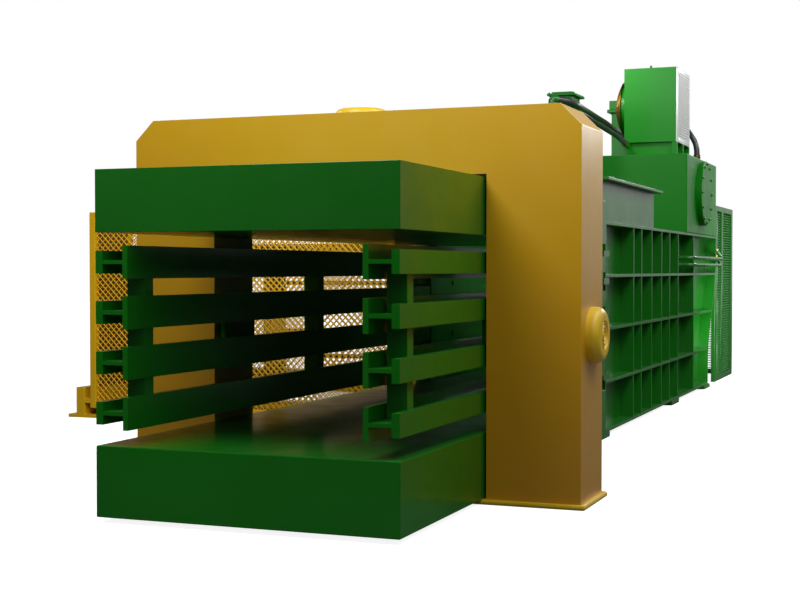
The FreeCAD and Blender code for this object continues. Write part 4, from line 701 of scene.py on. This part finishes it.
# hose fittings, crimped on to the hose; what is not a length in metres is a share
fittingValues = {"wall": 0.009, "long": 0.034, "ring": 0.016, "skin": 0.0002, "proud": 0.62, "skirt": 0.42,
                 "crimps": 3, "crimpFrom": 0.46, "crimpPitch": 0.17, "crimpDeep": 0.22,
                 "crimp": (0.05, 0.08, 0.13), "mouth": (0.02, 0.04), "lip": (0.95, 0.99),
                 "nut": 1.72, "nutWall": 0.85, "nutLong": 0.40, "nutTurn": 0.2, "steps": 32, "sharpest": 30}
nippleValues = {"neck": 0.72, "collar": (0.022, 0.020, 0.004, 0.002), "end": 0.001}
fittingEnds = [("upperHose", -1, 0, "long"), ("lowerHose", 0, 0, "long"), ("lowerHose", -1, 0.046, "ring"),
               ("suctionHose", 0, 0, "long"), ("upperLineHose", 0, 0, "ring"),
               ("upperLineHose", -1, 0, "long"), ("lowerLineHose", 0, 0, "ring"),
               ("lowerLineHose", -1, 0, "long")]    # hose, its end, length of the nipple, size


def fittingForm(form, spot, towards, radius, long):
    # a crimped ferrule with a hexagon nut at its root, along the hose from its end
    along = (Vector(towards) - spot).normalized()
    skin = radius + fittingValues["skin"]
    outer = radius + fittingValues["wall"] * fittingValues["proud"]
    groove = outer - fittingValues["wall"] * fittingValues["crimpDeep"]
    mouth, lip, crimp = fittingValues["mouth"], fittingValues["lip"], fittingValues["crimp"]
    outline = [(skin, mouth[0]), (outer, mouth[1]), (outer, fittingValues["skirt"])]
    for i in range(fittingValues["crimps"]):
        start = fittingValues["crimpFrom"] + i * fittingValues["crimpPitch"]
        outline += [(groove, start), (groove, start + crimp[0]), (outer, start + crimp[1]),
                    (outer, start + crimp[2])]
    outline += [(outer, lip[0]), (skin, lip[1])]
    outline = [(width, share * long) for width, share in outline]
    turnedForm(form, outline, spot, along, fittingValues["steps"])
    across = (radius + fittingValues["wall"] * fittingValues["nutWall"]) * fittingValues["nut"]
    hexForm(form, spot, along, across, long * fittingValues["nutLong"], fittingValues["nutTurn"])


def nippleForm(form, spot, towards, radius, long):
    # the welded stub that a fitting screws on to, with a collar
    along = (Vector(towards) - spot).normalized()
    neck = radius * nippleValues["neck"]
    outer = radius + fittingValues["wall"] * fittingValues["proud"]
    outline = [(0, -long), (neck, -long)]
    outline += [(width, -depth) for width, depth in zip((neck, outer, outer, neck), nippleValues["collar"])]
    outline += [(neck, nippleValues["end"]), (0, nippleValues["end"])]
    turnedForm(form, outline, spot, along, fittingValues["steps"])


fittings = bmesh.new()
nipples = bmesh.new()
for hoseName, end, nipple, size in fittingEnds:
    route = hoseValues[hoseName]["route"]
    towards = route[1] if end == 0 else route[-2]
    radius = hoseValues[hoseName]["radius"]
    fittingForm(fittings, Vector(route[end]), towards, radius, fittingValues[size])
    if nipple:
        nippleForm(nipples, Vector(route[end]), towards, radius, nipple)

# the suction hose ends in a rubber cuff on the tank, held by a brass ring
cuffValues = {"drop": 0.086, "wall": 0.0015, "ringLift": 0.048, "broken": 0.001, "foot": 0.0002, "steps": 40}
cuffTop = Vector(hoseValues["suctionHose"]["route"][-1])
cuffRadius = hoseValues["suctionHose"]["radius"] + cuffValues["wall"]
tankSpot = cuffTop - Vector((0, 0, cuffValues["drop"]))
ringSpot = tankSpot + Vector((0, 0, cuffValues["ringLift"]))
fittingForm(fittings, ringSpot, cuffTop, cuffRadius, fittingValues["long"])
cuff = bmesh.new()
cuffOutline = [(0, cuffValues["foot"]), (cuffRadius, cuffValues["foot"]),
               (cuffRadius, cuffValues["drop"] - cuffValues["broken"]),
               (cuffRadius - cuffValues["broken"], cuffValues["drop"]), (0, cuffValues["drop"])]
turnedForm(cuff, cuffOutline, tankSpot, (0, 0, 1), cuffValues["steps"])
solidPiece("suctionCuff", cuff, "hose_rubber", "hose_collars", fittingValues["sharpest"])
solidPiece("hoseFittings", fittings, "fitting_brass", "hose_collars", fittingValues["sharpest"])
solidPiece("hoseNipples", nipples, "unit_green", "hose_collars", fittingValues["sharpest"])
print("fittings made:", len(fittingEnds) + 1)

# the solids get their finishes, and the plates a broken edge of this width
edgeValues = {
    "portal_frame": 0.006, "portal_base_plate": 0.010, "channel_block": 0.005, "upper_beam": 0.005,
    "left_side_wall": 0.004, "right_side_wall": 0.004, "left_body_wall": 0.004, "right_body_wall": 0.004,
    "body_floor": 0.003, "body_roof": 0.003, "body_feet": 0.003, "hopper_collar": 0.002,
    "hopper_flange": 0.003, "oil_tank": 0.008, "cooler_housing": 0.004, "cooler_stand": 0.002,
    "filter_column": 0.005, "valve_tower": 0.004, "cage_frame": 0.004, "fence_frame": 0.004,
    "fence_foot_beam": 0.003, "fence_side_panel": 0.002, "tie_frame": 0.004, "hinge_brackets": 0.003,
    "press_ram": 0.004, "cylinder_crosshead": 0.003, "needle_carriage": 0.002,
}
bevelValues = {"merge": 0.00005, "flat": 0.5, "sharp": 40, "segments": 2}    # metres, degrees
# the base plate takes the lighter cap paint as a painted highlight, standing in for the light caught along
# its front edge, and the stand is sprayed with the cooler
ownFinishAndHighlight = {"portal_base_plate": "cap_paint", "cooler_stand": "unit_green"}
nodeSlots = {entry["node"]: entry["material_slot"] for entry in frame["record"]["subparts"]}


def breakEdges(piece, width):
    weld = piece.modifiers.new("weld", "WELD")
    weld.merge_threshold = bevelValues["merge"]
    flat = piece.modifiers.new("flat", "DECIMATE")
    flat.decimate_type = "DISSOLVE"
    flat.angle_limit = math.radians(bevelValues["flat"])
    bevel = piece.modifiers.new("bevel", "BEVEL")
    bevel.width = width
    bevel.segments = bevelValues["segments"]
    bevel.limit_method = "ANGLE"
    bevel.angle_limit = math.radians(bevelValues["sharp"])
    bevel.use_clamp_overlap = True
    even = piece.modifiers.new("even", "WEIGHTED_NORMAL")
    even.keep_sharp = True


for nodeName, piece in nodes.items():
    finish = finishes[ownFinishAndHighlight.get(nodeName, nodeSlots[nodeName])]
    piece.data.materials.clear()
    piece.data.materials.append(finish)
    if nodeName in edgeValues:
        breakEdges(piece, edgeValues[nodeName])
print("nodes dressed:", len(nodes))

# the floor: darker for the light that it throws back than for the eye, and white far off
floorValues = {
    "middle": (0, 3.5, 0), "radius": 40, "segments": 96, "rough": 0.9,
    "seenTone": (0.86, 0.86, 0.86), "litTone": (0.17, 0.17, 0.17),
    "glow": 0.88, "fadeFrom": 4.2, "fadeTo": 12,
}
floorForm = bmesh.new()
bmesh.ops.create_circle(floorForm, cap_ends=True, segments=floorValues["segments"],
                        radius=floorValues["radius"])
floorMesh = bpy.data.meshes.new("floor")
floorForm.to_mesh(floorMesh)
floorForm.free()
floor = bpy.data.objects.new("floor", floorMesh)
floor.location = floorValues["middle"]
scene.collection.objects.link(floor)
floorPaint, floorTree, floorShader = newMaterial("floorPaint")
floorSeen = addNode(floorTree, "ShaderNodeLightPath").outputs["Is Camera Ray"]
floorColour = between(floorTree, floorSeen, floorValues["litTone"], floorValues["seenTone"])
floorTree.links.new(floorColour, floorShader.inputs["Base Color"])
floorShader.inputs["Roughness"].default_value = floorValues["rough"]
floorShader.inputs["Specular IOR Level"].default_value = 0.0
floorShader.inputs["Emission Color"].default_value = (1, 1, 1, 1)
away = addNode(floorTree, "ShaderNodeVectorMath", operation="LENGTH")
floorTree.links.new(objectPoint(floorTree), away.inputs[0])
floorGlow = spread(floorTree, away.outputs["Value"], floorValues["fadeFrom"], floorValues["fadeTo"],
                   floorValues["glow"], 1.0)
floorStrength = combine(floorTree, "MULTIPLY", floorSeen, floorGlow)
floorTree.links.new(floorStrength, floorShader.inputs["Emission Strength"])
floorMesh.materials.append(floorPaint)

# soft areas of the studio's sky: turn from the front, height above the horizon and half width in degrees
skyValues = {
    "frontRight": {"turn": 45, "high": 38, "wide": 34, "glow": 0.914},
    "behind": {"turn": 180, "high": 10, "wide": 32, "glow": 0.154},
    "frontLeft": {"turn": 315, "high": 10, "wide": 32, "glow": 0.092},
    "behindLeft": {"turn": 225, "high": 10, "wide": 32, "glow": 0.230},
}
skyCore = 0.35    # the share of an area's half width that glows fully
backdropValues = {"seenInGloss": 0.28, "from": 0.55, "full": 0.98}    # along the baler's length
world = bpy.data.worlds.new("studio")
world.use_nodes = True
scene.world = world
sky = world.node_tree
direction = addNode(sky, "ShaderNodeTexCoord").outputs["Generated"]
glow = None
for values in skyValues.values():
    turn = math.radians(values["turn"])
    high = math.radians(values["high"])
    towards = (math.sin(turn) * math.cos(high), -math.cos(turn) * math.cos(high), math.sin(high))
    facingIt = addNode(sky, "ShaderNodeVectorMath", operation="DOT_PRODUCT")
    sky.links.new(direction, facingIt.inputs[0])
    facingIt.inputs[1].default_value = towards
    area = spread(sky, facingIt.outputs["Value"], math.cos(math.radians(values["wide"])),
                  math.cos(math.radians(values["wide"] * skyCore)), 0, values["glow"])
    area.node.interpolation_type = "SMOOTHSTEP"
    glow = combine(sky, "ADD", glow, area) if glow else area
# gloss and glass show the white backdrop behind the baler too, and the camera sees plain white
ray = addNode(sky, "ShaderNodeLightPath")
shiny = combine(sky, "MAXIMUM", ray.outputs["Is Glossy Ray"], ray.outputs["Is Transmission Ray"])
backdrop = spread(sky, part(sky, direction, "Y"), backdropValues["from"], backdropValues["full"],
                  0, backdropValues["seenInGloss"])
strength = addNode(sky, "ShaderNodeMix", data_type="FLOAT", B=1.0)
sky.links.new(ray.outputs["Is Camera Ray"], strength.inputs["Factor"])
sky.links.new(combine(sky, "ADD", glow, combine(sky, "MULTIPLY", backdrop, shiny)), strength.inputs["A"])
background = sky.nodes["Background"]
background.inputs["Color"].default_value = (1, 1, 1, 1)
sky.links.new(strength.outputs["Result"], background.inputs["Strength"])

# soft round lamps, that only light the baler
lampValues = {
    "frontLamp": {"place": (-0.6, -2.4, 4.2), "aim": (0.1, 0.2, 1.6), "size": 2.0, "power": 92},
    "leftLamp": {"place": (-2.6, 3.4, 5.6), "aim": (0.3, 6.4, 2.2), "size": 2.0, "power": 14},
    "coolerLamp": {"place": (-0.45, 5.30, 3.25), "aim": (0.0, 6.1, 2.85), "size": 0.5, "power": 15},
    "rightLamp": {"place": (4.0, 3.5, 5.0), "aim": (0.7, 5.5, 1.6), "size": 2.5, "power": 73},
    "portalLamp": {"place": (2.8, 0.5, 4.6), "aim": (0.8, 1.0, 1.0), "size": 2.0, "power": 68},
    "tankLamp": {"place": (2.0, 8.6, 3.3), "aim": (0.7, 6.6, 2.1), "size": 0.8, "power": 16},
    "rearLamp": {"place": (3.2, 9.5, 3.6), "aim": (0.7, 6.5, 1.4), "size": 2.0, "power": 80},
    "capLamp": {"place": (1.95, -1.5, 3.3), "aim": (1.25, 0.5, 1.2), "size": 0.8, "power": 14},
    "ribLamp": {"place": (1.60, 5.95, 0.60), "aim": (0.85, 6.9, 0.65), "size": 0.4, "power": 7, "spread": 80},
    "fenceLamp": {"place": (-1.9, 0.3, 2.6), "aim": (-1.1, 2.8, 1.2), "size": 1.0, "power": 27},
}
for lampName, values in lampValues.items():
    lampData = bpy.data.lights.new(lampName, "AREA")
    lampData.shape = "DISK"
    lampData.size = values["size"]
    lampData.energy = values["power"]
    lampData.spread = math.radians(values.get("spread", 180))
    lamp = bpy.data.objects.new(lampName, lampData)
    lamp.location = values["place"]
    aim = Vector(values["aim"]) - Vector(values["place"])
    lamp.rotation_euler = aim.to_track_quat("-Z", "Y").to_euler()
    lamp.visible_camera = False
    scene.collection.objects.link(lamp)
scene.view_settings.view_transform = "Standard"
print("stage lit:", len(lampValues), "lamps")
